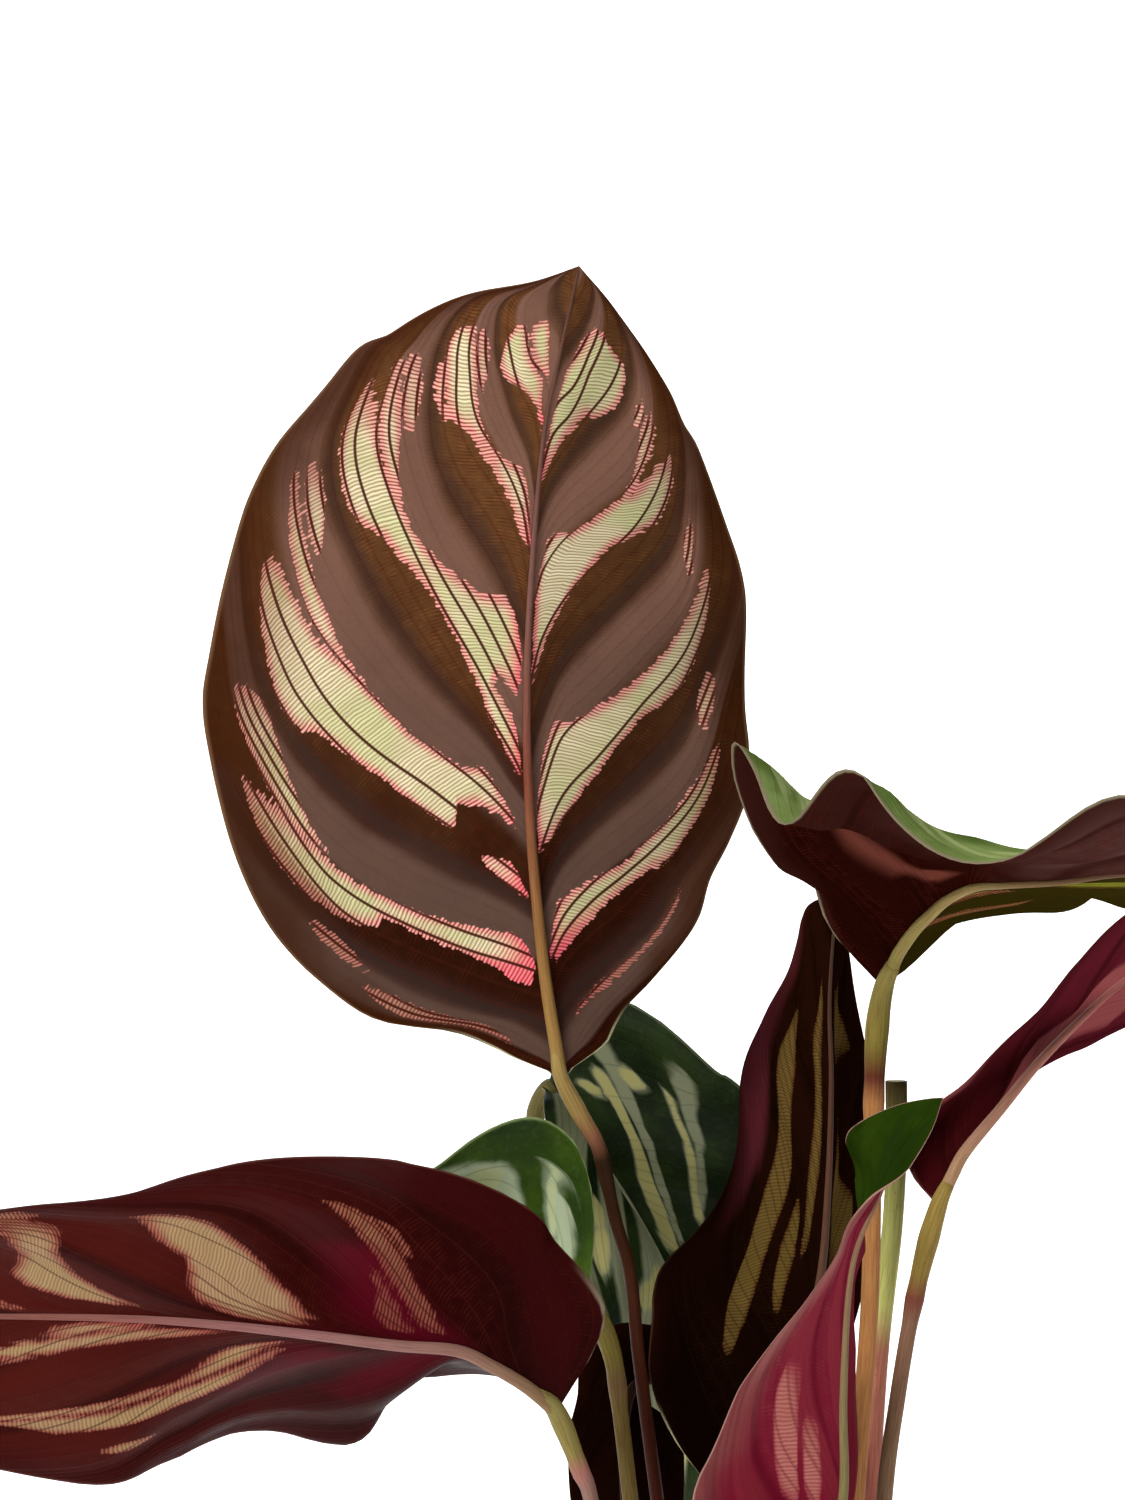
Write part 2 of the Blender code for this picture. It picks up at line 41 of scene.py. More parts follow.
def smoothCurve(points, steps=24):
    # Catmull-Rom curve: each span is a cubic whose slope at a point is half the step between its neighbours
    p = np.array(points, float)
    p = np.vstack([2 * p[0] - p[1], p, 2 * p[-1] - p[-2]])
    t = np.linspace(0, 1, steps, endpoint=False)[None, :, None]
    a, b, c, d = (q[:, None] for q in (p[:-3], p[1:-2], p[2:-1], p[3:]))
    square = (2 * a - 5 * b + 4 * c - d) * t**2
    cube = (3 * b - a - 3 * c + d) * t**3
    spans = 0.5 * (2 * b + (c - a) * t + square + cube)
    return np.vstack([spans.reshape(-1, p.shape[1]), p[-2:-1]])


def pointsAlong(points, shares):
    # reads the smooth curve at shares of its length
    curve = smoothCurve(points)
    length = np.concatenate([[0], np.cumsum(np.linalg.norm(np.diff(curve, axis=0), axis=1))])
    return np.stack([np.interp(shares * length[-1], length, curve[:, k]) for k in range(3)], -1)


def unit(vectors):
    # each vector divided by its length
    return vectors / np.maximum(np.linalg.norm(vectors, axis=-1, keepdims=True), 1e-12)


def aheadAlong(points, shares, reach=0.004):
    # direction of the curve: the step from a little before each share to a little after it
    before, after = np.maximum(shares - reach, 0), np.minimum(shares + reach, 1)
    return unit(pointsAlong(points, after) - pointsAlong(points, before))


def valueAt(pairs, shares):
    # straight lines between pairs of share and value, where a value is a number or a vector
    keys, values = zip(*pairs)
    values = np.array(values, float)
    if values.ndim == 1:
        return np.interp(shares, keys, values)
    return np.stack([np.interp(shares, keys, values[:, k]) for k in range(values.shape[1])], -1)


# Leaves in millimetres and degrees, on the same lines as the frame's solids.
# midrib and stalk: points that their curves pass through, from base to tip and from root to blade.
# upperSide: where the upper side faces, at shares of the length.
# left and right: half width at shares of the length, or the widest half width of a plain oval.
# leftFold and rightFold: how far that half turns up towards its upper side, at shares of the length.
# wave: waves along the margin, then their height and start on the left half and on the right half.
# rightLobe: how far the right half reaches back past the blade's base.
facingAway = [(0, (0, 1, 0)), (1, (0, 1, 0))]
oval = [(0, 0), (0.02, 0.26), (0.06, 0.5), (0.13, 0.75), (0.24, 0.93), (0.38, 1), (0.52, 0.98), (0.65, 0.89),
        (0.77, 0.72), (0.87, 0.5), (0.94, 0.29), (0.98, 0.12), (1, 0)]
leafTables = {
    "tall_leaf": {
        "midrib": [(-45, 0, 326), (-49, 4, 352), (-52, 8, 387), (-52, 8, 422), (-49, 4, 461), (-46, 0, 477),
                   (-41, -6, 499)],
        "stalk": [(-6, 4, 80), (-10, 4, 130), (-18, 6, 190), (-24, 6, 233), (-28, 5, 264), (-30, 3, 283),
                  (-33, 2, 294), (-35, 1, 303), (-37, 0, 311), (-41, 0, 318)],
        "upperSide": facingAway,
        "left": [(0, 0), (0.03, 9), (0.05, 14), (0.075, 22), (0.1, 37), (0.14, 47), (0.18, 54), (0.23, 60),
                 (0.3, 65), (0.4, 70), (0.46, 71.5), (0.52, 69.5), (0.64, 65.5), (0.7, 62), (0.76, 56),
                 (0.82, 46), (0.87, 37), (0.91, 29), (0.94, 21), (0.97, 9), (1, 0)],
        "right": [(0, 0), (0.03, 11), (0.05, 14), (0.075, 18), (0.1, 24), (0.14, 32), (0.18, 38), (0.23, 42),
                  (0.28, 48), (0.34, 53.5), (0.4, 54.5), (0.46, 53.5), (0.58, 52), (0.64, 49.5), (0.7, 44.5),
                  (0.76, 39), (0.82, 33), (0.87, 26), (0.91, 19), (0.94, 13), (0.97, 7), (1, 0)],
        "leftFold": [(0, 4), (1, 4)], "rightFold": [(0, 20), (0.4, 25), (1, 15)],
        "wave": (4.5, 2.2, 0.35, 2.2, 0),
    },
    "left_leaf": {
        "midrib": [(-46, -22, 259), (-52, -27, 265), (-59, -31, 270), (-66, -35, 274), (-78, -40, 276),
                   (-94, -45, 279), (-112, -50, 282), (-130, -54, 284), (-155, -57, 285), (-178, -58, 285),
                   (-205, -54, 281)],
        "stalk": [(-19, -9, 80), (-23, -10, 130), (-31, -14, 190), (-38, -18, 236), (-41, -19, 246)],
        "upperSide": facingAway,
        "left": 49,
        "right": [(0, 0), (0.01, 11), (0.03, 21), (0.06, 25), (0.1, 28), (0.15, 33), (0.2, 38), (0.3, 42),
                  (0.45, 45), (0.6, 43), (0.72, 37), (0.84, 26), (0.93, 13), (1, 0)],
        "leftFold": [(0, 80), (0.1, 62), (0.22, 46), (0.32, 54), (0.42, 48), (0.56, 32), (1, 24)],
        "rightFold": [(0, 5), (0.1, 16), (0.2, 26), (0.35, 46), (0.5, 62), (0.6, 67), (1, 60)],
        "wave": (3, 1.5, 0.35, 1.5, 0),
    },
    "nodding_leaf": {
        "midrib": [(-48, 77, 315), (-45, 72, 313), (-40, 68, 308), (-35, 67, 299), (-30, 66, 291),
                   (-24, 67, 281), (-19, 70, 271), (-16, 74, 261), (-12, 78, 250), (-10, 82, 239),
                   (-9, 88, 222), (-10, 94, 205)],
        "stalk": [(-13, 22, 80), (-17, 30, 130), (-24, 42, 190), (-33, 57, 240), (-45, 74, 275),
                  (-51, 84, 296), (-51, 83, 308)],
        "upperSide": [(0, (0, -1, 0)), (1, (0, -1, 0.1))],
        "left": [(0, 0), (0.03, 3), (0.08, 9), (0.15, 18), (0.25, 26), (0.4, 31), (0.55, 30), (0.7, 25),
                 (0.85, 15), (0.94, 8), (1, 0)],
        "right": 43, "rightLobe": 22,
        "leftFold": [(0, 50), (1, 50)], "rightFold": [(0, 20), (1, 24)],
        "wave": (2.6, 2.5, 0.35, 2.5, 0),
    },
    "small_leaf": {
        "midrib": [(-39, 4, 277), (-48, 8, 281), (-61, 14, 281), (-74, 20, 278), (-88, 24, 272),
                   (-103, 26, 263), (-117, 24, 250)],
        "stalk": [(-14, 2, 80), (-18, 1, 130), (-25, -1, 190), (-30, -2, 235), (-32, 0, 252), (-34, 3, 266)],
        "upperSide": [(0, (0, -1, 0.1)), (1, (0, -1, 0.1))],
        "left": [(0, 0), (0.02, 4), (0.05, 10), (0.08, 18), (0.1, 25), (0.12, 31), (0.16, 35), (0.22, 34),
                 (0.3, 31), (0.45, 28), (0.6, 23), (0.8, 12), (1, 0)],
        "right": 18,
        "leftFold": [(0, 0), (0.15, 4), (0.22, 28), (0.3, 44), (1, 50)],
        "rightFold": [(0, 20), (0.4, 45), (1, 55)],
        "wave": (2, 1.5, 0.35, 1.5, 0),
    },
    "shaded_leaf": {
        "midrib": [(-10, 12, 232), (-1, 12, 247), (7, 14, 262), (12, 16, 279), (14, 18, 299), (15, 21, 322),
                   (15, 25, 341), (17, 30, 364)],
        "stalk": [(2, 12, 80), (0, 13, 130), (-7, 13, 185), (-13, 12, 218)],
        "upperSide": facingAway,
        "left": [(0, 0), (0.04, 15), (0.1, 26), (0.2, 33), (0.36, 36), (0.5, 34), (0.62, 32), (0.74, 28.5),
                 (0.81, 21), (0.87, 14), (0.92, 11.5), (0.96, 10.5), (0.985, 8), (1, 0)],
        "right": 30,
        "leftFold": [(0, 2), (0.28, 6), (0.42, 42), (0.55, 56), (0.75, 50), (1, 50)],
        "rightFold": [(0, 64), (1, 64)],
        "wave": (2.4, 1.5, 0.35, 1.5, 0),
    },
    "spreading_leaf": {
        "midrib": [(24, -2, 346), (26, -6, 352), (27, -11, 355), (29, -17, 359), (31, -23, 362),
                   (34, -32, 366), (38, -43, 369), (43, -55, 370), (51, -68, 371), (62, -81, 373),
                   (81, -93, 373), (104, -101, 370)],
        "stalk": [(9, 3, 80), (12, 1, 130), (16, -1, 190), (18, -3, 235), (21, -4, 278), (22, -3, 321),
                  (23, -1, 337)],
        "upperSide": [(0, (-0.3, 0.6, 0.7)), (0.15, (-0.2, 0.2, 1)), (0.4, (0, 0, 1)), (1, (0, 0, 1))],
        "left": [(0, 0), (0.02, 9), (0.05, 15), (0.08, 21), (0.12, 29), (0.17, 38), (0.22, 45), (0.3, 51),
                 (0.5, 51), (0.65, 46), (0.77, 37), (0.87, 26), (0.94, 15), (1, 0)],
        "right": 38,
        "leftFold": [(0, 50), (0.15, 42), (0.3, 31), (0.4, 23), (0.5, 17), (0.65, 13), (1, 8)],
        "rightFold": [(0, 20), (0.08, 10), (0.2, -3), (0.35, -7), (1, -7)],
        "wave": (4.2, 7.5, 0.02, 2.5, 0),
    },
    "right_leaf": {
        "midrib": [(36, -2, 299), (39, -1, 305), (42, 0, 310), (50, 2, 319), (59, 5, 329), (70, 9, 339),
                   (79, 12, 346), (94, 16, 355), (120, 22, 364)],
        "stalk": [(18, -6, 80), (19, -6, 130), (21, -6, 190), (24, -5, 236), (27, -4, 258), (30, -3, 275),
                  (33, -2, 288)],
        "upperSide": facingAway,
        "left": 31, "right": 30,
        "leftFold": [(0, 50), (0.07, 60), (0.14, 71), (0.22, 79), (0.34, 85), (0.52, 87), (0.64, 77),
                     (0.8, 66), (1, 55)],
        "rightFold": [(0, 82), (0.34, 80), (0.44, 76), (0.56, 64), (0.7, 57), (1, 50)],
        "wave": (2.2, 2, 0.35, 2, 0),
    },
    "young_leaf": {
        "midrib": [(2, -22, 200), (9, -25, 220), (13, -28, 242), (13, -29, 262), (14, -29, 283),
                   (16, -30, 295), (20, -32, 305), (22, -34, 311), (26, -37, 318), (32, -41, 326)],
        "stalk": [(4, -14, 80), (2, -17, 120), (-1, -20, 160), (0, -22, 188)],
        "upperSide": [(0, (0, 1, 0)), (0.7, (0, 1, 0)), (0.79, (-0.85, 0.1, 0.5)), (0.88, (-0.2, -1, 0.2)),
                      (1, (0, -1, 0.2))],
        "left": [(0, 0), (0.04, 10), (0.12, 22), (0.24, 30), (0.33, 30), (0.45, 25), (0.55, 18),
                 (0.62, 11.5), (0.68, 6.5), (0.74, 3.5), (0.8, 3), (0.86, 4), (0.94, 3), (1, 0)],
        "right": [(0, 0), (0.02, 5), (0.06, 10), (0.13, 15), (0.24, 18.6), (0.38, 20), (0.5, 18), (0.58, 13),
                  (0.66, 8), (0.73, 8.5), (0.8, 14), (0.87, 11), (0.94, 6), (0.98, 2.4), (1, 0)],
        "leftFold": [(0, 10), (0.33, 12), (0.49, 30), (0.62, 50), (0.75, 64), (0.85, 20), (1, 0)],
        "rightFold": [(0, 75), (0.7, 78), (0.8, 15), (0.88, 0), (1, 0)],
        "wave": (2, 0.8, 0.35, 0.8, 0),
    },
    "low_leaf": {
        "midrib": [(-18, 34, 252), (-23, 31, 255), (-29, 27, 253), (-31, 24, 243), (-31, 22, 229),
                   (-30, 22, 212), (-29, 24, 192)],
        "stalk": [(0, 24, 80), (-3, 25, 130), (-8, 29, 190), (-10, 34, 232), (-13, 36, 246)],
        "upperSide": [(0, (0.2, 0.9, 0.3)), (0.3, (0, 1, 0)), (1, (0, 1, 0))],
        "left": 20, "right": 20,
        "leftFold": [(0, 45), (1, 45)], "rightFold": [(0, 55), (1, 50)],
        "wave": (2, 1, 0.35, 1, 0),
    },
}
# Points of the cut stalk
cutStalkLine = [(16, 10, 80), (18, 8, 130), (21, 6, 190), (22, 5, 234), (24, 6, 266), (27, 7, 292),
                (28, 8, 309), (28, 8, 324)]

# Veins: where each numbered side vein is, as a share of the blade's length, at these shares of the half width
veinStations = np.array([0, 0.05, 0.15, 0.3, 0.5, 0.7, 0.85, 1])
leftVeins = {
    -4: [0, 0, 0, 0, 0, 0, 0, 0],
    0: [0, 0.004, 0.012, 0.03, 0.06, 0.1, 0.17, 0.3],
    4: [0.125, 0.132, 0.145, 0.165, 0.205, 0.265, 0.39, 0.56],
    8: [0.19, 0.203, 0.23, 0.262, 0.31, 0.385, 0.49, 0.65],
    11: [0.25, 0.27, 0.305, 0.355, 0.415, 0.505, 0.59, 0.72],
    12: [0.285, 0.315, 0.36, 0.41, 0.48, 0.555, 0.66, 0.79],
    15: [0.33, 0.36, 0.42, 0.475, 0.56, 0.66, 0.76, 0.87],
    18: [0.355, 0.4, 0.465, 0.545, 0.645, 0.745, 0.83, 0.92],
    19: [0.38, 0.425, 0.5, 0.585, 0.695, 0.79, 0.87, 0.945],
    22: [0.49, 0.535, 0.6, 0.67, 0.77, 0.85, 0.91, 0.965],
    26: [0.63, 0.7, 0.755, 0.8, 0.865, 0.92, 0.95, 0.98],
    29: [0.7, 0.76, 0.805, 0.85, 0.905, 0.945, 0.97, 0.99],
    32: [0.795, 0.83, 0.85, 0.895, 0.935, 0.962, 0.98, 0.995],
    36: [0.93, 0.945, 0.955, 0.97, 0.98, 0.99, 0.995, 0.998],
    38: [1, 1, 1, 1, 1, 1, 1, 1],
}
rightVeins = {
    -4: [0, 0, 0, 0, 0, 0, 0, 0],
    0: [0, 0.004, 0.012, 0.03, 0.06, 0.1, 0.17, 0.3],
    4: [0.125, 0.14, 0.175, 0.208, 0.245, 0.305, 0.4, 0.55],
    8: [0.19, 0.215, 0.26, 0.3, 0.35, 0.41, 0.5, 0.64],
    11: [0.24, 0.285, 0.345, 0.39, 0.455, 0.525, 0.64, 0.78],
    12: [0.29, 0.345, 0.42, 0.46, 0.52, 0.59, 0.7, 0.82],
    16: [0.38, 0.43, 0.5, 0.55, 0.61, 0.67, 0.76, 0.87],
    19: [0.46, 0.53, 0.587, 0.637, 0.685, 0.75, 0.82, 0.91],
    20: [0.57, 0.63, 0.67, 0.7, 0.74, 0.81, 0.88, 0.94],
    24: [0.65, 0.7, 0.74, 0.775, 0.82, 0.87, 0.92, 0.965],
    28: [0.74, 0.79, 0.82, 0.88, 0.92, 0.95, 0.97, 0.985],
    32: [0.84, 0.87, 0.89, 0.92, 0.95, 0.97, 0.985, 0.993],
    36: [0.94, 0.955, 0.965, 0.975, 0.985, 0.99, 0.995, 0.998],
    38: [1, 1, 1, 1, 1, 1, 1, 1],
}

# Pale cells between side veins: at shares of the half width, the vein numbers where a cell starts and ends
tallStripes = {
    "left": [
        [(0.64, -1.6, 0.1), (0.7, -1.9, 0.2), (0.78, -1.9, 0), (0.86, -1.8, -1)],
        [(0.76, 0.9, 1.3), (0.79, 0.5, 1.4), (0.82, 0.4, 1.2), (0.85, 0.6, 0.8)],
        [(0.04, 4.2, 4.6), (0.06, 3.7, 5.6), (0.08, 3.4, 5.9), (0.11, 3.3, 6), (0.16, 3.3, 5.7),
         (0.21, 3.6, 5.5), (0.27, 3.7, 5.4), (0.35, 3.8, 5.2), (0.43, 3.8, 5), (0.58, 3.8, 4.9),
         (0.6, 3.4, 4.9), (0.63, 3.2, 4.8), (0.68, 2.9, 4.8), (0.73, 2.7, 4.8), (0.77, 2.4, 4.3),
         (0.8, 2.1, 4), (0.83, 1.9, 3.6), (0.86, 1.9, 3.3), (0.89, 2, 3), (0.91, 2.4, 2.7)],
        [(0.68, 5.1, 5.3), (0.72, 5, 5.5), (0.76, 4.4, 6.6), (0.79, 4, 8), (0.82, 3.9, 8), (0.85, 4, 7.4),
         (0.88, 4.4, 6.4), (0.9, 4.9, 5.4)],
        [(0.03, 9.1, 9.4), (0.06, 9, 10.1), (0.08, 9, 10.4), (0.12, 9, 10.1), (0.18, 9.4, 9.6)],
        [(0.05, 11.8, 12.1), (0.11, 11.7, 13.2), (0.13, 11.6, 13.4), (0.17, 11.5, 12.8), (0.2, 11.3, 12.2),
         (0.235, 11.1, 12.1), (0.25, 10.1, 12.1), (0.28, 9.9, 12), (0.37, 10, 11.9), (0.47, 10.2, 12),
         (0.56, 10, 12), (0.62, 9.8, 11.9), (0.66, 9.6, 11.8), (0.7, 9.1, 11.8), (0.76, 9, 11.7),
         (0.82, 9.3, 11.5), (0.86, 9.7, 11.3), (0.88, 10.3, 10.9)],
        [(0.4, 11.9, 12), (0.48, 12, 12.1), (0.55, 12, 12.2), (0.6, 12, 12.5), (0.65, 12, 12.8),
         (0.7, 12, 13), (0.75, 12.1, 13.3), (0.8, 12.1, 13.4), (0.85, 12.6, 13.4), (0.88, 12.9, 13.2)],
        [(0.7, 13.9, 14.1), (0.73, 13.7, 15.2), (0.76, 13.7, 15.2), (0.8, 13.8, 14.9), (0.84, 14, 14.4)],
        [(0.02, 17.3, 18.4), (0.03, 17.1, 19.4), (0.05, 17, 19.7), (0.08, 17.5, 19.6), (0.11, 18, 19.4),
         (0.13, 18.3, 18.9)],
        [(0.02, 21.6, 22.2), (0.03, 20.8, 22.6), (0.05, 20.5, 22.9), (0.07, 20.3, 22.9), (0.105, 19.8, 22.4),
         (0.12, 18.3, 22.2), (0.16, 18.5, 21.6), (0.23, 18.8, 21), (0.31, 18.8, 20.3), (0.37, 18.6, 19.8),
         (0.43, 18.3, 19.5), (0.5, 18.1, 19.3), (0.54, 17.7, 19.2), (0.6, 17, 19.1), (0.64, 16.7, 19.1),
         (0.7, 16.7, 18.9), (0.76, 16.8, 18.5), (0.8, 17, 18.2), (0.83, 17.5, 17.8)],
        [(0.46, 19.4, 19.6), (0.5, 19.3, 19.9), (0.53, 19.3, 20.4), (0.57, 19.3, 20.9), (0.62, 19.3, 20.9),
         (0.68, 19.2, 20.6), (0.73, 19.1, 20.2), (0.78, 19, 19.7)],
        [(0.53, 21.6, 21.9), (0.57, 21.2, 22.3), (0.62, 21, 22.2), (0.68, 20.8, 21.7), (0.73, 20.5, 21),
         (0.76, 20.2, 20.5)],
        [(0.01, 26.2, 26.6), (0.02, 25.8, 27.1), (0.04, 25.4, 27.6), (0.06, 25.3, 27.8), (0.09, 25.4, 27.4),
         (0.12, 25.4, 26.5), (0.17, 25.4, 26), (0.23, 25.4, 26), (0.3, 25.5, 26.3), (0.35, 25.1, 26.5),
         (0.41, 24.6, 26.8), (0.47, 24.3, 26.9), (0.53, 24.1, 26.9), (0.58, 24, 26.4), (0.63, 24, 26),
         (0.69, 24.3, 25)],
        [(0.32, 27.2, 27.4), (0.35, 26.8, 27.9), (0.4, 26.9, 28.4), (0.48, 27.1, 28.3), (0.55, 27.1, 27.7)],
        [(0.42, 24.2, 24.3), (0.48, 23.7, 24.2), (0.53, 23.4, 24.1), (0.58, 23.3, 23.9), (0.61, 23.5, 23.7)],
        [(0.01, 31.8, 32), (0.03, 31.7, 32.2), (0.06, 31.5, 32.7), (0.11, 31.5, 32.9), (0.17, 31, 33),
         (0.23, 29.8, 33.1), (0.29, 29.4, 33.1), (0.33, 29.7, 32.9), (0.36, 31, 32.4)],
        [(0.04, 33.1, 33.3), (0.06, 33, 33.8), (0.09, 33.1, 34.2), (0.13, 33.2, 34.7), (0.17, 33.3, 34.9),
         (0.22, 33.5, 34.4), (0.25, 33.8, 34.1)],
    ],
    "right": [
        [(0.34, 0.85, 1), (0.46, 0.8, 1.05), (0.56, 0.65, 0.95), (0.65, 0.6, 0.9), (0.72, 0.55, 0.85),
         (0.78, 0.5, 0.9), (0.84, 0.7, 1)],
        [(0.05, 4.3, 4.7), (0.08, 3.8, 5.5), (0.1, 3.5, 6.2), (0.12, 3.5, 6.2), (0.16, 3.4, 5.8),
         (0.24, 3.4, 5.5), (0.33, 3.5, 5.1), (0.41, 3.6, 4.9), (0.46, 3.6, 4.7), (0.5, 3.5, 4.8),
         (0.56, 3.5, 5), (0.62, 3.4, 5), (0.66, 3.2, 5.2), (0.71, 3, 5.4), (0.75, 3.1, 5.1),
         (0.78, 3.2, 4.9), (0.81, 3.3, 4.7), (0.86, 3.8, 4.1)],
        [(0.78, 7.4, 8.4), (0.8, 6.6, 8.5), (0.83, 6.3, 8.4), (0.86, 6.9, 7.6)],
        [(0.03, 11.2, 12), (0.05, 10.9, 12.9), (0.07, 10.5, 13.7), (0.09, 10.2, 13.8), (0.11, 10, 13.8),
         (0.15, 9.9, 12.9), (0.19, 10, 12.1), (0.25, 10.3, 12), (0.31, 10.4, 11.9), (0.37, 10.6, 11.8),
         (0.44, 10.6, 11.7), (0.5, 10.6, 11.6), (0.57, 10.3, 11.6), (0.63, 10.2, 11.6), (0.7, 10, 11.7),
         (0.76, 9.9, 11.6), (0.8, 10.2, 11.5), (0.83, 10.9, 11.3)],
        [(0.73, 13, 14.5), (0.75, 12.6, 15.2), (0.78, 12.9, 14.6), (0.81, 13.6, 14.2)],
        [(0.02, 19, 19.7), (0.03, 18.8, 20.2), (0.05, 18.6, 20.6), (0.06, 18.6, 21.4), (0.09, 18.8, 21.2),
         (0.12, 18.8, 20.7), (0.16, 19, 20), (0.27, 19.1, 19.9), (0.38, 19.1, 19.9), (0.46, 18.9, 19.9),
         (0.52, 18.6, 19.7), (0.57, 18.2, 19.6), (0.62, 17.9, 19.5), (0.68, 17.8, 19.4), (0.73, 17.8, 19.2),
         (0.77, 17.8, 18.9), (0.79, 18.2, 18.6)],
        [(0.46, 19.9, 20), (0.5, 19.8, 20), (0.53, 19.7, 20.1), (0.57, 19.8, 20.7), (0.6, 19.8, 21.1),
         (0.63, 19.8, 21.7), (0.67, 19.8, 21.8), (0.71, 19.8, 21.3), (0.76, 19.8, 20.2)],
        [(0.6, 22.4, 22.8), (0.63, 22, 23.4), (0.67, 21.9, 23.2), (0.71, 22.1, 22.5)],
        [(0.01, 27.6, 28.1), (0.03, 27, 28.7), (0.05, 26.5, 30.2), (0.07, 26.6, 31.3), (0.11, 26.9, 31.9),
         (0.15, 26.8, 32.2), (0.19, 26.5, 32.3), (0.28, 26, 32.1), (0.31, 25.5, 32), (0.36, 25.2, 31.6),
         (0.42, 25, 31.2), (0.47, 24.9, 29.2), (0.54, 24.9, 27.4), (0.6, 25.1, 26.5), (0.65, 25.5, 25.9)],
    ],
}
leftLeafPale = {
    "left": [
        [(0.08, 14.3, 14.8), (0.11, 14, 15.2), (0.16, 13.4, 15.4), (0.21, 13, 15.1), (0.27, 12.9, 14.7),
         (0.33, 12.8, 14.2), (0.39, 13, 13.9), (0.45, 13.5, 14.9), (0.51, 14.3, 15.6), (0.57, 15.1, 16.7),
         (0.63, 16.1, 17.9), (0.68, 17.3, 18.4)],
        [(0.13, 12.8, 13.3), (0.2, 12, 12.9), (0.26, 11.8, 12.6), (0.33, 11.6, 12.6), (0.4, 11.4, 12.8),
         (0.46, 11.5, 13.3), (0.52, 11.6, 14.1), (0.58, 12, 14.9), (0.62, 12.8, 15.7), (0.66, 13.7, 16.7),
         (0.71, 14.4, 17.4)],
        [(0.02, 22.6, 24.6), (0.04, 22, 24.7), (0.06, 22.2, 24.5), (0.08, 22.8, 24.3), (0.1, 23.1, 24.1),
         (0.13, 23.4, 23.9), (0.16, 23.7, 24.3), (0.18, 24.2, 24.5)],
        [(0.03, 19.8, 20.4), (0.04, 19.8, 21.3), (0.06, 19.9, 22.1), (0.09, 20.3, 22.7), (0.12, 21.1, 23),
         (0.16, 21.6, 23.5), (0.19, 22.1, 24), (0.23, 22.6, 24.6), (0.27, 23.5, 25.2), (0.32, 24.3, 25.8),
         (0.4, 25.2, 26.4)],
        [(0.21, 22.2, 22.5), (0.25, 22.3, 22.9), (0.29, 22.6, 23.4), (0.34, 23, 23.9)],
        [(0.72, 10.4, 11.6), (0.75, 10.2, 11.9), (0.79, 10.8, 11.5)],
        *tallStripes["left"][-2:],
    ],
    "right": [
        [(0.07, 5.8, 6.6), (0.14, 4.9, 6.2), (0.2, 4.4, 5.8), (0.28, 4.2, 5.7), (0.38, 4, 5.6),
         (0.46, 3.9, 5.4), (0.53, 3.9, 5.3), (0.6, 3.8, 5.1), (0.66, 3.7, 4.9), (0.71, 3.8, 4.6),
         (0.74, 3.9, 4.3)],
        [(0.47, 3.6, 3.8), (0.53, 3.4, 3.8), (0.6, 3.3, 3.7), (0.65, 3.5, 3.7)],
        [(0.07, 7.7, 9), (0.1, 7.4, 8.8), (0.16, 6.8, 8.2), (0.22, 6.4, 7.5), (0.28, 6.2, 6.7),
         (0.34, 6.1, 6.6), (0.39, 6, 6.1)],
        [(0.04, 12.6, 16), (0.07, 11.6, 16.1), (0.12, 11.3, 15.3), (0.18, 11.1, 14.6), (0.26, 11.1, 13.8),
         (0.33, 10.9, 12.9), (0.4, 10.6, 12.1), (0.5, 10.2, 11.9), (0.58, 10, 11.7), (0.65, 9.8, 11.5),
         (0.72, 9.8, 11.2), (0.79, 9.8, 10.3)],
        [(0.08, 18.9, 19.2), (0.13, 18.6, 19.6), (0.18, 18.5, 19.7), (0.24, 18.3, 19.9), (0.33, 18.1, 19.9),
         (0.4, 17.8, 19.6), (0.5, 17.2, 19.2), (0.6, 16.4, 18.6), (0.7, 15, 17.6), (0.78, 13, 16.6),
         (0.87, 11.4, 13.6), (0.95, 10.4, 11.4)],
        [(0.05, 22.6, 23.6), (0.1, 22.4, 23.6), (0.15, 22.5, 23.2)],
        tallStripes["right"][-1],
    ],
}
shadedLeafPale = {
    "left": [
        [(0.39, 8, 22), (0.42, 4.8, 23), (0.46, 4.4, 24), (0.5, 4.6, 24), (0.54, 9, 23), (0.57, 12, 20)],
        [(0.09, 22, 31), (0.12, 17, 32.6), (0.15, 14, 32.4), (0.18, 15, 27)],
        [(0.2, 10.6, 13), (0.24, 10.2, 16.6), (0.28, 10.8, 17), (0.31, 12.4, 15)],
    ],
    "right": [
        [(0.1, 12, 20), (0.2, 11, 18), (0.32, 10.5, 15), (0.45, 10.2, 12.5)],
        [(0.1, 24, 30), (0.2, 23, 28.5), (0.32, 22, 26), (0.45, 21.2, 23.5)],
    ],
}
youngLeafPale = {
    "left": [
        [(0.3, 9.2, 10.1), (0.36, 9, 12), (0.43, 8.9, 13.6), (0.5, 9.6, 13.4), (0.57, 10.6, 12.6),
         (0.64, 11.3, 11.9)],
        [(0.15, 10.8, 11.5), (0.2, 10.6, 14.6), (0.26, 10.6, 14.4), (0.33, 12.4, 13.4)],
        [(0.3, 2.5, 4.5), (0.42, 2.2, 4.8), (0.55, 2, 4.2), (0.68, 1.8, 3.2)],
    ],
    "right": [[(0.1, 5, 7), (0.3, 4.4, 6.6), (0.5, 4, 5.6)]],
}
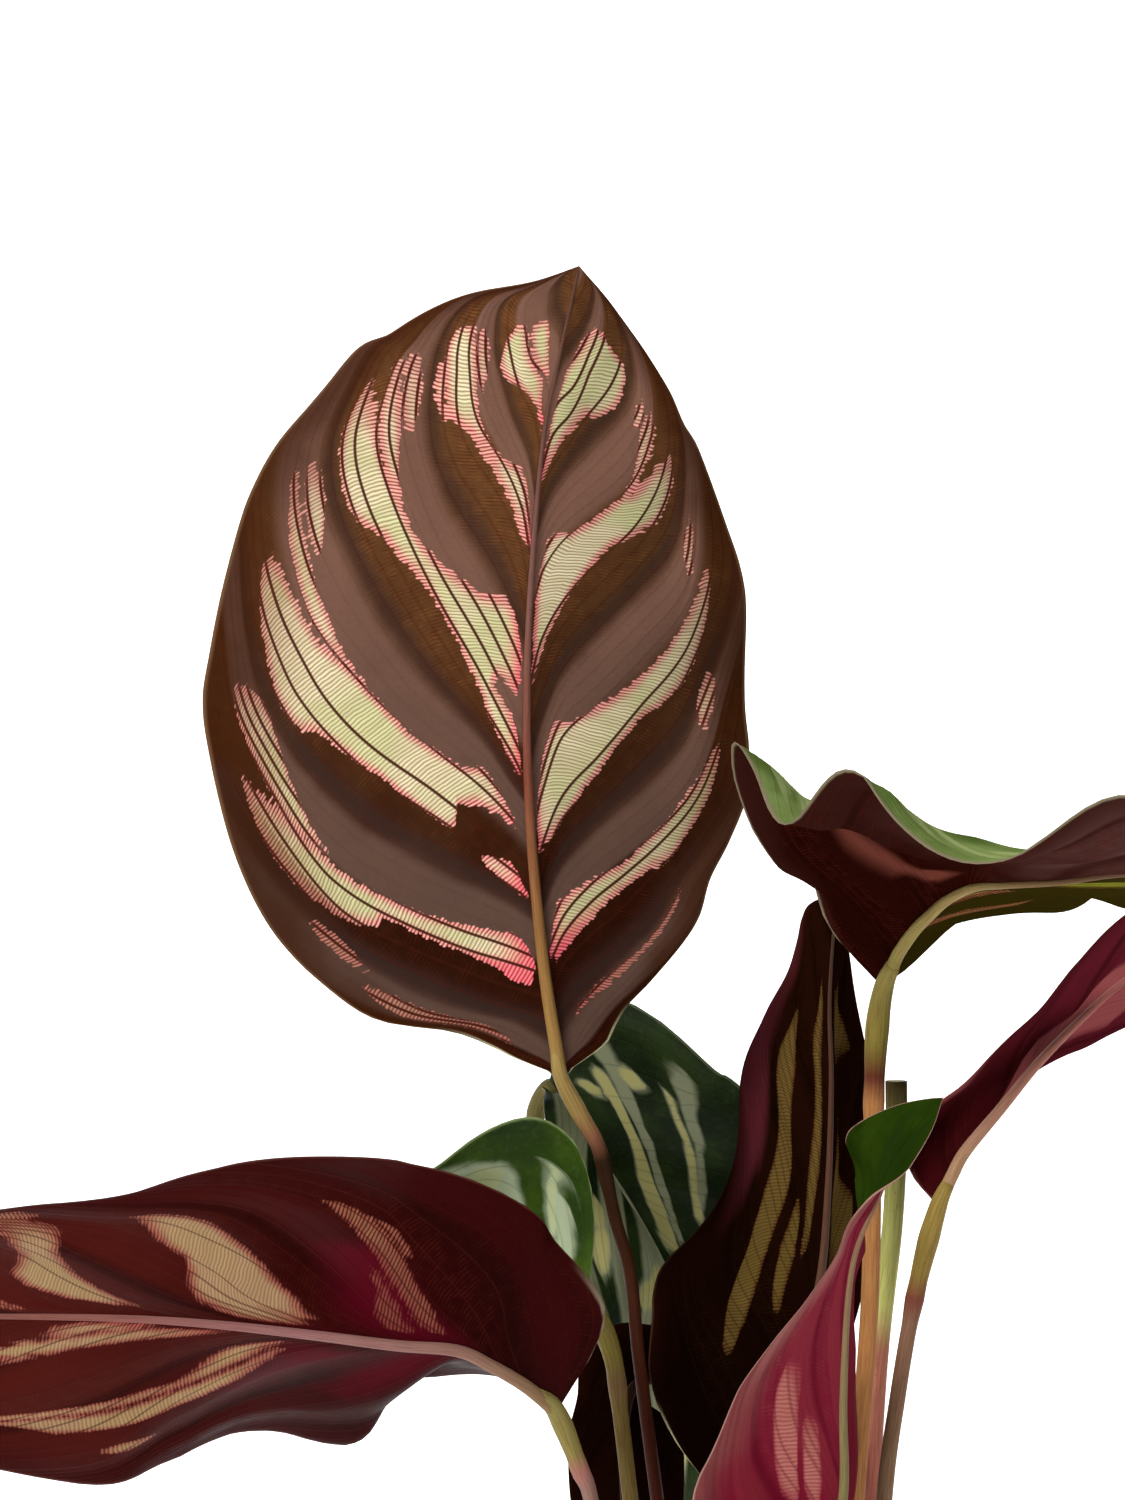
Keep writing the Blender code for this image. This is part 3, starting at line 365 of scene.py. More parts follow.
spreadingLeafPale = {
    "left": [],
    "right": [
        [(0.08, 3.4, 5), (0.2, 3, 5.4), (0.4, 2.8, 5), (0.6, 2.6, 4.2)],
        [(0.06, 8, 10.4), (0.2, 7.6, 11), (0.4, 7.4, 10.6), (0.6, 7.4, 9.4)],
        [(0.06, 14.6, 17.4), (0.2, 14, 17.8), (0.4, 13.8, 17.2), (0.6, 13.8, 16)],
        [(0.06, 22, 25), (0.2, 21.4, 25), (0.4, 21, 24), (0.6, 21.2, 23)],
    ],
}
noddingLeafPale = {
    "left": [
        [(0.06, 17.4, 18.7), (0.14, 14, 17.4), (0.22, 13.2, 15.6), (0.29, 12, 14.6), (0.35, 11.7, 13.6),
         (0.42, 11.5, 12.6)],
        [(0.36, 6.4, 7.5), (0.44, 5.7, 7.6), (0.52, 5.8, 6.6)],
        [(0.46, 7, 8.1), (0.55, 6.2, 7.9), (0.64, 5.5, 7.4), (0.72, 5.2, 6.2)],
        [(0.3, 22, 24.5), (0.5, 21, 23.5), (0.7, 20.6, 22.2)],
    ],
    "right": [
        [(0.05, 12.6, 14.6), (0.08, 11.3, 13.4), (0.13, 8, 11.5), (0.17, 6.2, 10.1), (0.22, 4.1, 6.6),
         (0.27, 2.6, 4.1), (0.32, 1.7, 2.7), (0.38, 1.2, 1.8), (0.44, 1, 1.2)],
        [(0.29, 10, 10.8), (0.34, 8.6, 9.7), (0.4, 6.6, 7.8), (0.45, 4.9, 6.2), (0.52, 3.5, 4.1),
         (0.6, 2, 2.6), (0.66, 1.1, 1.6)],
        [(0.22, 1.5, 2), (0.26, 1.3, 2.1), (0.3, 1.4, 1.9)],
        [(0.48, 1.3, 1.7), (0.53, 1, 1.6), (0.58, 0.9, 1.4)],
        [(0.1, 19, 22), (0.25, 18.6, 21), (0.45, 18.4, 20)],
    ],
}
smallLeafPale = {
    "left": [
        [(0.51, 4.2, 4.8), (0.58, 3.6, 4.5), (0.64, 3, 4), (0.7, 2.3, 3.5), (0.76, 1.9, 2.9),
         (0.81, 1.7, 2.2)],
        [(0.25, 2.7, 3), (0.34, 2.3, 2.7), (0.42, 2, 2.5), (0.5, 1.7, 2.1), (0.58, 1.3, 1.8),
         (0.66, 0.9, 1.3), (0.75, 0.1, 0.6)],
        [(0.1, 9.5, 11.5), (0.3, 9, 11), (0.5, 9, 10.4)],
        [(0.1, 18.5, 21.5), (0.3, 18, 20.6), (0.5, 18, 19.6)],
    ],
    "right": [[(0.1, 4, 6), (0.4, 3.8, 5.4), (0.7, 3.6, 4.6)],
              [(0.1, 12, 14.5), (0.4, 11.6, 13.6), (0.7, 11.4, 12.4)]],
}
# What each leaf shows: pale cells on its underside and upper side, silver patches on its upper side (olive on
# the underside, where a look asks for it), and glow, soft tinted zones on its underside, which on the
# spreading leaf's ridge are partly a painted highlight
patternsOf = {
    "tall_leaf": {"pale": tallStripes},
    "left_leaf": {"pale": leftLeafPale, "glow": {
        "left": [[(-0.2, 5.6, 9.6), (0.3, 6, 8.2), (0.5, 6.3, 6.9)],
                 [(0.1, 10.6, 12.4), (0.3, 10.6, 11.4), (0.5, 10.5, 11.2)]],
        "right": [[(-0.2, 5.6, 11), (0.1, 5.2, 10.4), (0.2, 4.8, 9.4), (0.35, 4.4, 8.2), (0.5, 4.6, 7.4)]]}},
    "nodding_leaf": {"pale": tallStripes, "upperPale": noddingLeafPale, "silver": {
        "left": [[(0, 0, 4.6), (0.1, 0, 4.4), (0.3, 0, 5.4), (0.6, 0, 5), (0.95, 0, 4)],
                 [(0, 6.5, 10.9), (0.1, 6.6, 10.9), (0.3, 7, 10.9), (0.6, 7.9, 10.9), (0.95, 8, 11)],
                 [(0, 12, 21), (0.5, 12, 20), (0.95, 12, 17)]],
        "right": [[(0.13, 11.6, 11.9), (0.17, 10.3, 11.5), (0.2, 8.4, 10), (0.24, 6.3, 8.7),
                   (0.29, 3.9, 5.6), (0.37, 1.9, 3.1), (0.45, 1.2, 1.9), (0.54, 0.4, 1), (0.7, -0.8, -0.2)],
                  [(0.36, 8.2, 9.2), (0.44, 6.4, 7.7), (0.54, 3.9, 4.6), (0.66, 1.9, 2.8), (0.74, 0.6, 1.8),
                   (0.84, -0.6, 0)]]}},
    "small_leaf": {"pale": tallStripes, "upperPale": smallLeafPale, "silver": {
        "left": [[(0.15, 3.9, 6.5), (0.35, 3.8, 8), (0.6, 2.7, 8), (0.85, 1.2, 7), (1.02, -0.2, 6)],
                 [(0.1, 1.5, 2.7), (0.25, 1.3, 2.6), (0.4, 1, 2.2), (0.6, 0.4, 1.5)]]}},
    "shaded_leaf": {"pale": shadedLeafPale, "glow": {
        "left": [[(0.69, 12.6, 17.8), (0.77, 10.4, 18.4), (0.84, 9, 18.6), (1, 8, 18.6)]]}},
    # the spreading leaf's glow cell runs along its ridge: its own reddish colour, partly a painted highlight
    "spreading_leaf": {"pale": spreadingLeafPale, "upperPale": tallStripes, "silver": {
        "right": [[(-0.3, -6, 40), (1.3, -6, 40)]]}, "glow": {
        "left": [[(0.1, 11.6, 13.6), (0.14, 10.4, 12.7), (0.23, 8, 9.6), (0.34, 7.1, 8.6), (0.46, 6.5, 7.8),
                  (0.6, 6.6, 7.6), (0.68, 6.4, 7.6), (0.76, 5.4, 7.2)]]}},
    "right_leaf": {"upperPale": tallStripes, "glow": {
        "left": [[(0, 8, 34), (0.1, 9, 34), (0.2, 9.8, 24), (0.27, 12, 20)],
                 [(0.9, -3.6, 0.5), (1, -3.6, 1)]],
        "right": [[(0, 12, 34), (0.3, 12, 32), (0.6, 12, 30)]]}},
    "young_leaf": {"pale": youngLeafPale, "glow": {
        "left": [[(0.6, 21, 34), (0.7, 19, 34), (0.82, 14, 30), (0.9, 10.5, 28), (1, 5, 26)]]}},
    "low_leaf": {"upperPale": tallStripes},
}


def outlineWidth(outline, shares):
    # half width in metres, read from an outline or from the oval times the widest half width
    pairs = outline if isinstance(outline, list) else [(v, w * outline) for v, w in oval]
    curve = smoothCurve(pairs, 12)
    wide = np.interp(shares, curve[:, 0], np.maximum(curve[:, 1], 0)) * mm
    return np.maximum(wide, 1.5 * mm * np.clip(1 - 4 * shares, 0, 1))


def softly(pairs, shares, reach=0.05):
    # mean of five readings about each share, so that a table's corners turn into curves
    return sum(valueAt(pairs, shares + step * reach) for step in (-1, -0.5, 0, 0.5, 1)) / 5


def upperDirection(leaf, ahead, length):
    # where the upper side faces: the table's direction less its part along the midrib
    up = valueAt(leaf["upperSide"], length)
    return unit(up - (up * ahead).sum(-1, keepdims=True) * ahead)


def bladePoints(leaf, length, across):
    # middle surface: midrib point + half width turned up by the fold + the margin's wave; arrays of one shape
    midrib = np.array(leaf["midrib"]) * mm
    spine, ahead = pointsAlong(midrib, length), aheadAlong(midrib, length)
    up = upperDirection(leaf, ahead, length)
    right = np.cross(up, ahead)
    onRight = across >= 0
    wide = np.where(onRight, outlineWidth(leaf["right"], length), outlineWidth(leaf["left"], length))
    fold = np.radians(np.where(onRight, softly(leaf["rightFold"], length), softly(leaf["leftFold"], length)))
    count, leftHeight, leftStart, rightHeight, rightStart = leaf["wave"]
    start, height = np.where(onRight, rightStart, leftStart), np.where(onRight, rightHeight, leftHeight) * mm
    wave = height * np.sin(2 * np.pi * (count * length + start)) * np.abs(across) ** 2.2
    wave = wave * np.clip(wide / (12 * mm), 0, 1)
    reach = across * wide * np.cos(fold)
    rise = np.abs(across) * wide * np.sin(fold) + wave
    nearBase = np.clip(1 - length / 0.3, 0, 1) ** 2 * np.clip(length / 0.08, 0, 1) ** 2
    lobe = leaf.get("rightLobe", 0) * mm * np.maximum(across, 0) * nearBase
    return spine + reach[..., None] * right + rise[..., None] * up - lobe[..., None] * ahead


def bladeNormals(leaf, length, across):
    # towards the underside: the step across, crossed with the step ahead
    side = np.where(across >= 0, 1, -1)
    v = np.clip(length, 0.006, 0.994)
    u = np.clip(np.abs(across), 0.01, 0.99)
    sideways = bladePoints(leaf, v, side * (u + 0.01)) - bladePoints(leaf, v, side * (u - 0.01))
    forwards = bladePoints(leaf, v + 0.004, side * u) - bladePoints(leaf, v - 0.004, side * u)
    return unit(np.cross(sideways, forwards) * side[..., None])


def veinLength(veins, numbers, across):
    # table of veins read at vein numbers (rows) and shares of the half width (columns), joined by cubics.
    # Each slope is the harmonic mean of the slopes on both sides, so that veins never cross
    keys = np.array(sorted(veins), float)
    rows = np.array([veins[key] for key in sorted(veins)], float)
    at = np.column_stack([np.interp(numbers, keys, rows[:, j]) for j in range(rows.shape[1])])
    step = np.diff(veinStations)
    rise = np.diff(at, axis=1) / step
    slope = np.zeros_like(at)
    before, after = rise[:, :-1], rise[:, 1:]
    slope[:, 1:-1] = np.where(before * after > 0, 2 * before * after / (before + after + 1e-12), 0)
    slope[:, 0], slope[:, -1] = rise[:, 0], rise[:, -1]
    k = np.clip(np.searchsorted(veinStations, across, "right") - 1, 0, len(step) - 1)
    t = (across - veinStations[k]) / step[k]
    return (at[:, k] * (2 * t**3 - 3 * t**2 + 1) + slope[:, k] * step[k] * (t**3 - 2 * t**2 + t)
            + at[:, k + 1] * (3 * t**2 - 2 * t**3) + slope[:, k + 1] * step[k] * (t**3 - t**2))


def stripeDistance(cells, numbers, across, spacing, reach):
    # millimetres inside the nearest cell, below 0 outside: the least of the ways to its two veins and ends
    best = np.full(np.broadcast(numbers, across).shape, -9.0)
    for cell in cells:
        u, low, high = np.array(cell).T
        above, below = numbers - np.interp(across, u, low), np.interp(across, u, high) - numbers
        ends = np.minimum(across - u[0], u[-1] - across) * reach
        best = np.maximum(best, np.minimum(np.minimum(above, below) * spacing, ends))
    return best


def putMesh(name, points, quads, maps=None, smooth=True):
    # points nearer than a thousandth of a millimetre become one, and quads lose their doubled corners;
    # a map is one vector per point
    rounded = np.round(points / 1e-6).astype(np.int64)
    first, index = np.unique(rounded, axis=0, return_index=True, return_inverse=True)[1:]
    quads = index.reshape(-1)[quads]
    keep = quads != np.roll(quads, -1, axis=1)
    whole = keep.sum(1) >= 3
    quads, keep = quads[whole], keep[whole]
    counts = keep.sum(1)
    starts = np.concatenate([[0], np.cumsum(counts)[:-1]])
    mesh = bpy.data.meshes.new(name)
    mesh.vertices.add(len(first))
    mesh.vertices.foreach_set("co", points[first].astype(np.float32).ravel())
    mesh.loops.add(int(counts.sum()))
    mesh.loops.foreach_set("vertex_index", quads[keep].astype(np.int32))
    mesh.polygons.add(len(quads))
    mesh.polygons.foreach_set("loop_start", starts.astype(np.int32))
    mesh.polygons.foreach_set("loop_total", counts.astype(np.int32))
    mesh.update(calc_edges=True)
    mesh.validate()
    for key, values in (maps or {}).items():
        attribute = mesh.attributes.new(key, "FLOAT_VECTOR", "POINT")
        attribute.data.foreach_set("vector", values[first].astype(np.float32).ravel())
    if smooth:
        mesh.shade_smooth()
    piece = bpy.data.objects.new(name, mesh)
    bpy.context.scene.collection.objects.link(piece)
    return piece


def joinGrids(grids):
    # grids of points, quads and maps, put one after another
    points, quads, maps, start = [], [], [], 0
    for onePoints, oneQuads, oneMaps in grids:
        points.append(onePoints)
        quads.append(oneQuads + start)
        maps.append(oneMaps)
        start += len(onePoints)
    return np.vstack(points), np.vstack(quads), {key: np.vstack([m[key] for m in maps]) for key in maps[0]}


def gridQuads(rows, columns, wrap=False):
    # corners of each quad of a grid: a column and the next, then both in the next row; wrap closes each row
    i = np.arange(rows - 1)[:, None]
    j = np.arange(columns if wrap else columns - 1)[None, :]
    k = (j + 1) % columns
    corners = [i * columns + j, i * columns + k, (i + 1) * columns + k, (i + 1) * columns + j]
    return np.stack(corners, -1).reshape(-1, 4)


def sheetShell(middle, normal, thickness, turned, maps):
    # closed thin sheet: one grid each side of the middle surface, and a strip round the edge
    rows, columns = middle.shape[:2]
    half = (thickness / 2)[..., None]
    upper, under = (middle - normal * half).reshape(-1, 3), (middle + normal * half).reshape(-1, 3)
    quads = gridQuads(rows, columns)
    place = np.arange(rows * columns).reshape(rows, columns)
    rim = np.concatenate([place[0, :-1], place[:-1, -1], place[-1, :0:-1], place[:0:-1, 0]])
    ahead = np.roll(rim, -1)
    count = rows * columns
    wall = np.stack([rim, ahead, ahead + count, rim + count], -1)
    faces = np.vstack([quads[:, ::-1], quads + count, wall])
    if turned:
        faces = faces[:, ::-1]
    both = {}
    for key, (upperMap, underMap) in maps.items():
        both[key] = np.vstack([upperMap.reshape(-1, 3), underMap.reshape(-1, 3)])
    return np.vstack([upper, under]), faces, both


def rodShell(path, ahead, radii, sides, first, shares, length):
    # closed rod: a ring round each path point, whose first direction is carried along without turning, and a
    # ring shrunk to a point at each end; its map is the share of the length, the angle and the millimetres
    directions = [first]
    for direction in ahead[1:]:
        directions.append(unit(directions[-1] - (directions[-1] @ direction) * direction))
    a = np.array(directions)
    b = np.cross(ahead, a)
    angle = 2 * np.pi * np.arange(sides) / sides
    rings = path[:, None] + (np.cos(angle)[None, :, None] * a[:, None]
                             + np.sin(angle)[None, :, None] * b[:, None]) * radii[:, None, None]
    ends = [path[k][None, None].repeat(sides, 1) for k in (0, -1)]
    points = np.concatenate([ends[0], rings, ends[1]])
    share = shares[:, None] * np.ones(sides)
    stalkMap = np.stack([share, np.broadcast_to(angle, share.shape), share * length], -1).reshape(-1, 3)
    return points.reshape(-1, 3), gridQuads(len(points), sides, wrap=True), {"stalkMap": stalkMap}


class Wire:
    # a node's output, with which math nodes are written like sums
    def __init__(self, make, socket):
        self.make, self.socket = make, socket

    def __add__(self, other):
        return self.make.math("ADD", self, other)

    def __sub__(self, other):
        return self.make.math("SUBTRACT", self, other)

    def __mul__(self, other):
        return self.make.math("MULTIPLY", self, other)

    def __truediv__(self, other):
        return self.make.math("DIVIDE", self, other)

    def __abs__(self):
        return self.make.math("ABSOLUTE", self)


class NodeMaker:
    # short ways to add the nodes of a material; look holds its named colours
    def __init__(self, name, look=None):
        self.look = look
        self.material = bpy.data.materials.new(name)
        self.material.use_nodes = True
        self.tree = self.material.node_tree
        self.shader = self.tree.nodes["Principled BSDF"]

    def put(self, socket, value):
        # links a wire, or sets a number, a colour or a colour of the look by its name
        if isinstance(value, str):
            value = self.look[value]
        if isinstance(value, Wire):
            self.tree.links.new(value.socket, socket)
        else:
            socket.default_value = (*value, 1) if socket.type == "RGBA" else value

    def node(self, kind, inputs, **settings):
        node = self.tree.nodes.new(kind)
        for key, value in settings.items():
            setattr(node, key, value)
        for key, value in inputs.items():
            self.put(node.inputs[key], value)
        return node

    def wire(self, kind, inputs, output=0, **settings):
        return Wire(self, self.node(kind, inputs, **settings).outputs[output])

    def math(self, operation, *values):
        return self.wire("ShaderNodeMath", dict(enumerate(values)), operation=operation)

    def step(self, value, low, high, start=0.0, end=1.0):
        # smooth change from start, up to the low value, to end, from the high value on
        inputs = dict(enumerate((value, low, high, start, end)))
        return self.wire("ShaderNodeMapRange", inputs, interpolation_type="SMOOTHSTEP")

    def blend(self, share, first, second, kind="MIX"):
        inputs = {0: share, 6: first, 7: second}
        return self.wire("ShaderNodeMix", inputs, 2, data_type="RGBA", blend_type=kind)

    def paint(self, colour, *layers):
        # layers of share and colour, laid over a colour one after another
        for share, over in layers:
            colour = self.blend(share, colour, over)
        return colour

    def split(self, vector):
        outputs = self.node("ShaderNodeSeparateXYZ", {0: vector}).outputs
        return [Wire(self, socket) for socket in outputs]

    def attribute(self, name):
        return self.split(self.wire("ShaderNodeAttribute", {}, "Vector", attribute_name=name))

    def place(self):
        return self.wire("ShaderNodeTexCoord", {}, "Object")

    def noise(self, scale, detail=2.0, vector=None, roughness=0.5):
        # clouds about 0.5, as many to a metre as the scale says unless a vector is given
        inputs = {"Vector": vector or self.place(), "Scale": scale, "Detail": detail, "Roughness": roughness}
        return self.wire("ShaderNodeTexNoise", inputs, "Fac")

    def vector(self, *values):
        return self.wire("ShaderNodeCombineXYZ", dict(enumerate(values)))

    def white(self, vector):
        return self.wire("ShaderNodeTexWhiteNoise", {"Vector": vector}, "Value", noise_dimensions="3D")

    def bump(self, height, strength, distance):
        inputs = {"Strength": strength, "Distance": distance, "Height": height}
        self.put(self.shader.inputs["Normal"], self.wire("ShaderNodeBump", inputs))

    def finish(self, colour, roughness, shine=0.5):
        inputs = {"Base Color": colour, "Roughness": roughness, "Specular IOR Level": shine}
        for key, value in inputs.items():
            self.put(self.shader.inputs[key], value)
        return self.material


# Linear colours of a blade's skin. Underside: brown below a stripe; above it mauve, partly the leaf's own
# colour and partly a painted sheen where the pleat faces the light; in the valley between them a painted
# shade line;
# marginBrown at the edge, gold in fine lines; a stripe has lines and gaps in its core, at its edge and at its
# root; glow is for the soft zones, tints, and on the spreading leaf's ridge partly a painted highlight. Upper
# side: the greens, silver and pale.
# Measures: hatchEvery is from line to line, tooth how much lines differ in length, outward how far out they
# go, taper how much shorter gaps are, lowFrom to lowTo where brown turns from low to high, and faintUntil the
# shown vein up to which stripes are faint.
brownLeaf = {
    "brownLow": (0.013, 0.0028, 0.0003), "brownHigh": (0.095, 0.04, 0.013), "mauveSheen": (0.16, 0.08, 0.055),
    "mauveSheenLow": (0.078, 0.045, 0.033), "valleyShade": (0.026, 0.016, 0.013), "marginBrown": (0.028, 0.007, 0.0004),
    "coreLine": (0.66, 0.57, 0.39), "coreGreen": (0.52, 0.53, 0.28), "coreGap": (0.29, 0.225, 0.11),
    "edgeLine": (0.68, 0.37, 0.29), "edgeGap": (0.2, 0.042, 0.03), "rootLine": (0.7, 0.17, 0.18),
    "rootGap": (0.4, 0.02, 0.045), "faintLine": (0.3, 0.08, 0.055), "vein": (0.045, 0.007, 0.003),
    "rim": (0.11, 0.055, 0.025), "baseEdge": (0.5, 0.46, 0.27), "gold": (0.17, 0.062, 0.018),
    "green": (0.016, 0.036, 0.004), "freshGreen": (0.05, 0.1, 0.01), "darkGreen": (0.008, 0.02, 0.003),
    "pale": (0.3, 0.3, 0.1), "silver": (0.24, 0.28, 0.17), "olive": (0.03, 0.024, 0.002), "oliveShare": 0,
    "hatchEvery": 0.86, "tooth": 0.7, "outward": 0.5, "taper": 0.3, "veinWide": 0.3, "veinShare": 0.97,
    "edgeSoft": 0.12, "streaks": 0.6, "lowFrom": 0.3, "lowTo": 0.95, "glow": (0.16, 0.04, 0.04),
    "glowSoft": 3, "glowOver": 0, "faintUntil": (22.6, 23.2), "shine": 0.02, "flecks": 0.03, "blotch": 0.6,
}
leftLeafLook = dict(
    brownLeaf, brownLow=(0.013, 0.0006, 0.0008), brownHigh=(0.052, 0.005, 0.0028),
    mauveSheen=(0.058, 0.006, 0.004), mauveSheenLow=(0.02, 0.001, 0.0015), valleyShade=(0.006, 0.0006, 0.0007),
    marginBrown=(0.022, 0.0018, 0.0018),
    coreLine=(0.34, 0.215, 0.12), coreGreen=(0.32, 0.22, 0.1), coreGap=(0.22, 0.125, 0.06),
    edgeLine=(0.27, 0.1, 0.065), edgeGap=(0.14, 0.028, 0.02), rootLine=(0.28, 0.06, 0.045),
    rootGap=(0.12, 0.008, 0.012), faintLine=(0.25, 0.072, 0.045), faintUntil=(28, 30.5),
    vein=(0.045, 0.006, 0.004), veinWide=0.2, veinShare=0.6, tooth=0.4, outward=0.2, edgeSoft=0.45,
    rim=(0.07, 0.02, 0.015), baseEdge=(0.2, 0.15, 0.1), gold=(0.07, 0.01, 0.006), green=(0.012, 0.028, 0.003),
    glow=(0.06, 0.0015, 0.006), glowSoft=4.5, glowOver=0.5, shine=0.012)
# The shaded leaf's colours, its stripes too, are painted far darker than the tall leaf's: painted shade where
# it stands behind the other leaves
shadedLook = dict(
    brownLeaf, brownLow=(0.003, 0.0008, 0.0003), brownHigh=(0.006, 0.0012, 0.0005),
    mauveSheen=(0.009, 0.002, 0.001), mauveSheenLow=(0.005, 0.0012, 0.0005), valleyShade=(0.002, 0.0005, 0.0003),
    marginBrown=(0.01, 0.002, 0.001),
    coreLine=(0.108, 0.066, 0.018), coreGreen=(0.092, 0.061, 0.014), coreGap=(0.066, 0.037, 0.009),
    edgeLine=(0.075, 0.038, 0.011), edgeGap=(0.03, 0.012, 0.003), rootLine=(0.08, 0.035, 0.01),
    rootGap=(0.03, 0.008, 0.003), faintLine=(0.03, 0.01, 0.003), vein=(0.012, 0.004, 0.001), veinWide=0.2,
    veinShare=0.35, tooth=0.35, outward=0.2, edgeSoft=0.35, rim=(0.035, 0.014, 0.008),
    gold=(0.012, 0.003, 0.001), glow=(0.08, 0.013, 0.018), glowSoft=4, shine=0)
youngLook = dict(
    brownLeaf, brownLow=(0.1, 0.0035, 0.012), brownHigh=(0.12, 0.011, 0.022), mauveSheen=(0.13, 0.015, 0.024),
    mauveSheenLow=(0.118, 0.009, 0.016), valleyShade=(0.05, 0.001, 0.006), marginBrown=(0.13, 0.042, 0.038),
    coreLine=(0.28, 0.1, 0.082), coreGreen=(0.26, 0.09, 0.072), coreGap=(0.195, 0.05, 0.046),
    edgeLine=(0.2, 0.04, 0.044), edgeGap=(0.17, 0.03, 0.034), rootLine=(0.27, 0.07, 0.065),
    rootGap=(0.17, 0.03, 0.035), faintLine=(0.22, 0.05, 0.05), vein=(0.08, 0.006, 0.012), veinShare=0.4,
    tooth=0.3, outward=0.15, edgeSoft=0.6, rim=(0.28, 0.15, 0.12), gold=(0.16, 0.03, 0.03),
    green=(0.009, 0.02, 0.0015), freshGreen=(0.016, 0.032, 0.002), glow=(0.24, 0.11, 0.095), glowSoft=4,
    shine=0, flecks=0)
# The spreading leaf's glow is a pink-brown band along a ridge: partly its own reddish colour, partly a
# painted highlight
spreadingLook = dict(
    leftLeafLook, brownLow=(0.007, 0.001, 0.0003), brownHigh=(0.07, 0.032, 0.027), mauveSheen=(0.085, 0.04, 0.034),
    mauveSheenLow=(0.009, 0.0014, 0.0005), valleyShade=(0.005, 0.0008, 0.0003), marginBrown=(0.024, 0.007, 0.005),
    coreLine=(0.21, 0.22, 0.03), coreGreen=(0.17, 0.19, 0.02), coreGap=(0.1, 0.095, 0.01),
    edgeLine=(0.06, 0.04, 0.006), edgeGap=(0.03, 0.016, 0.002), rootLine=(0.08, 0.06, 0.008),
    rootGap=(0.04, 0.025, 0.003), rim=(0.16, 0.13, 0.08), olive=(0.019, 0.015, 0.0015), oliveShare=0.9,
    green=(0.08, 0.12, 0.026), freshGreen=(0.15, 0.2, 0.06), silver=(0.13, 0.175, 0.05),
    pale=(0.22, 0.26, 0.1), glow=(0.115, 0.03, 0.02), glowSoft=2.5, lowFrom=0.5, lowTo=1.1, shine=0)
rightLook = dict(
    leftLeafLook, brownLow=(0.022, 0.0012, 0.0025), brownHigh=(0.062, 0.005, 0.013),
    mauveSheen=(0.075, 0.007, 0.014), mauveSheenLow=(0.026, 0.0016, 0.003), valleyShade=(0.012, 0.0008, 0.0014),
    marginBrown=(0.04, 0.004, 0.008),
    rim=(0.2, 0.12, 0.08), baseEdge=(0.3, 0.27, 0.2), glow=(0.19, 0.045, 0.046), glowSoft=2.2, shine=0)
# The nodding leaf's pale and silver are painted lighter than on the other leaves: painted light where the
# tall leaf in front shades it
noddingLook = dict(
    leftLeafLook, green=(0.01, 0.02, 0.005), freshGreen=(0.028, 0.05, 0.01), pale=(0.6, 0.55, 0.22),
    silver=(0.34, 0.36, 0.22), rim=(0.15, 0.18, 0.1), shine=0.08, blotch=0.15)
smallLook = dict(
    leftLeafLook, green=(0.016, 0.036, 0.003), freshGreen=(0.042, 0.078, 0.004), pale=(0.4, 0.43, 0.21),
    silver=(0.33, 0.38, 0.24), rim=(0.16, 0.21, 0.08), shine=0.08, blotch=0.15)
leafLooks = {
    "tall_leaf": brownLeaf, "left_leaf": leftLeafLook, "nodding_leaf": noddingLook, "small_leaf": smallLook,
    "shaded_leaf": shadedLook, "spreading_leaf": spreadingLook, "right_leaf": rightLook,
    "young_leaf": youngLook,
    # the low leaf: the shaded leaf's colours with its browns darker still, as painted shade
    "low_leaf": dict(shadedLook, brownLow=(0.006, 0.001, 0.001), brownHigh=(0.012, 0.002, 0.002)),
}
# Noises of a blade's skin, by how many clouds go to a metre, and where its edges start and end across a half
bladeNoise = {
    "cloud": 70, "fine": 1300, "wander": 240, "streak": 420, "gold": 330, "core": 55, "fleck": 900,
    "pale": 200,
}
bladeEdges = {
    "rim": (0.982, 0.997), "upperRim": (0.975, 0.995), "margin": (0.82, 1.12), "base": (0.93, 0.975),
}


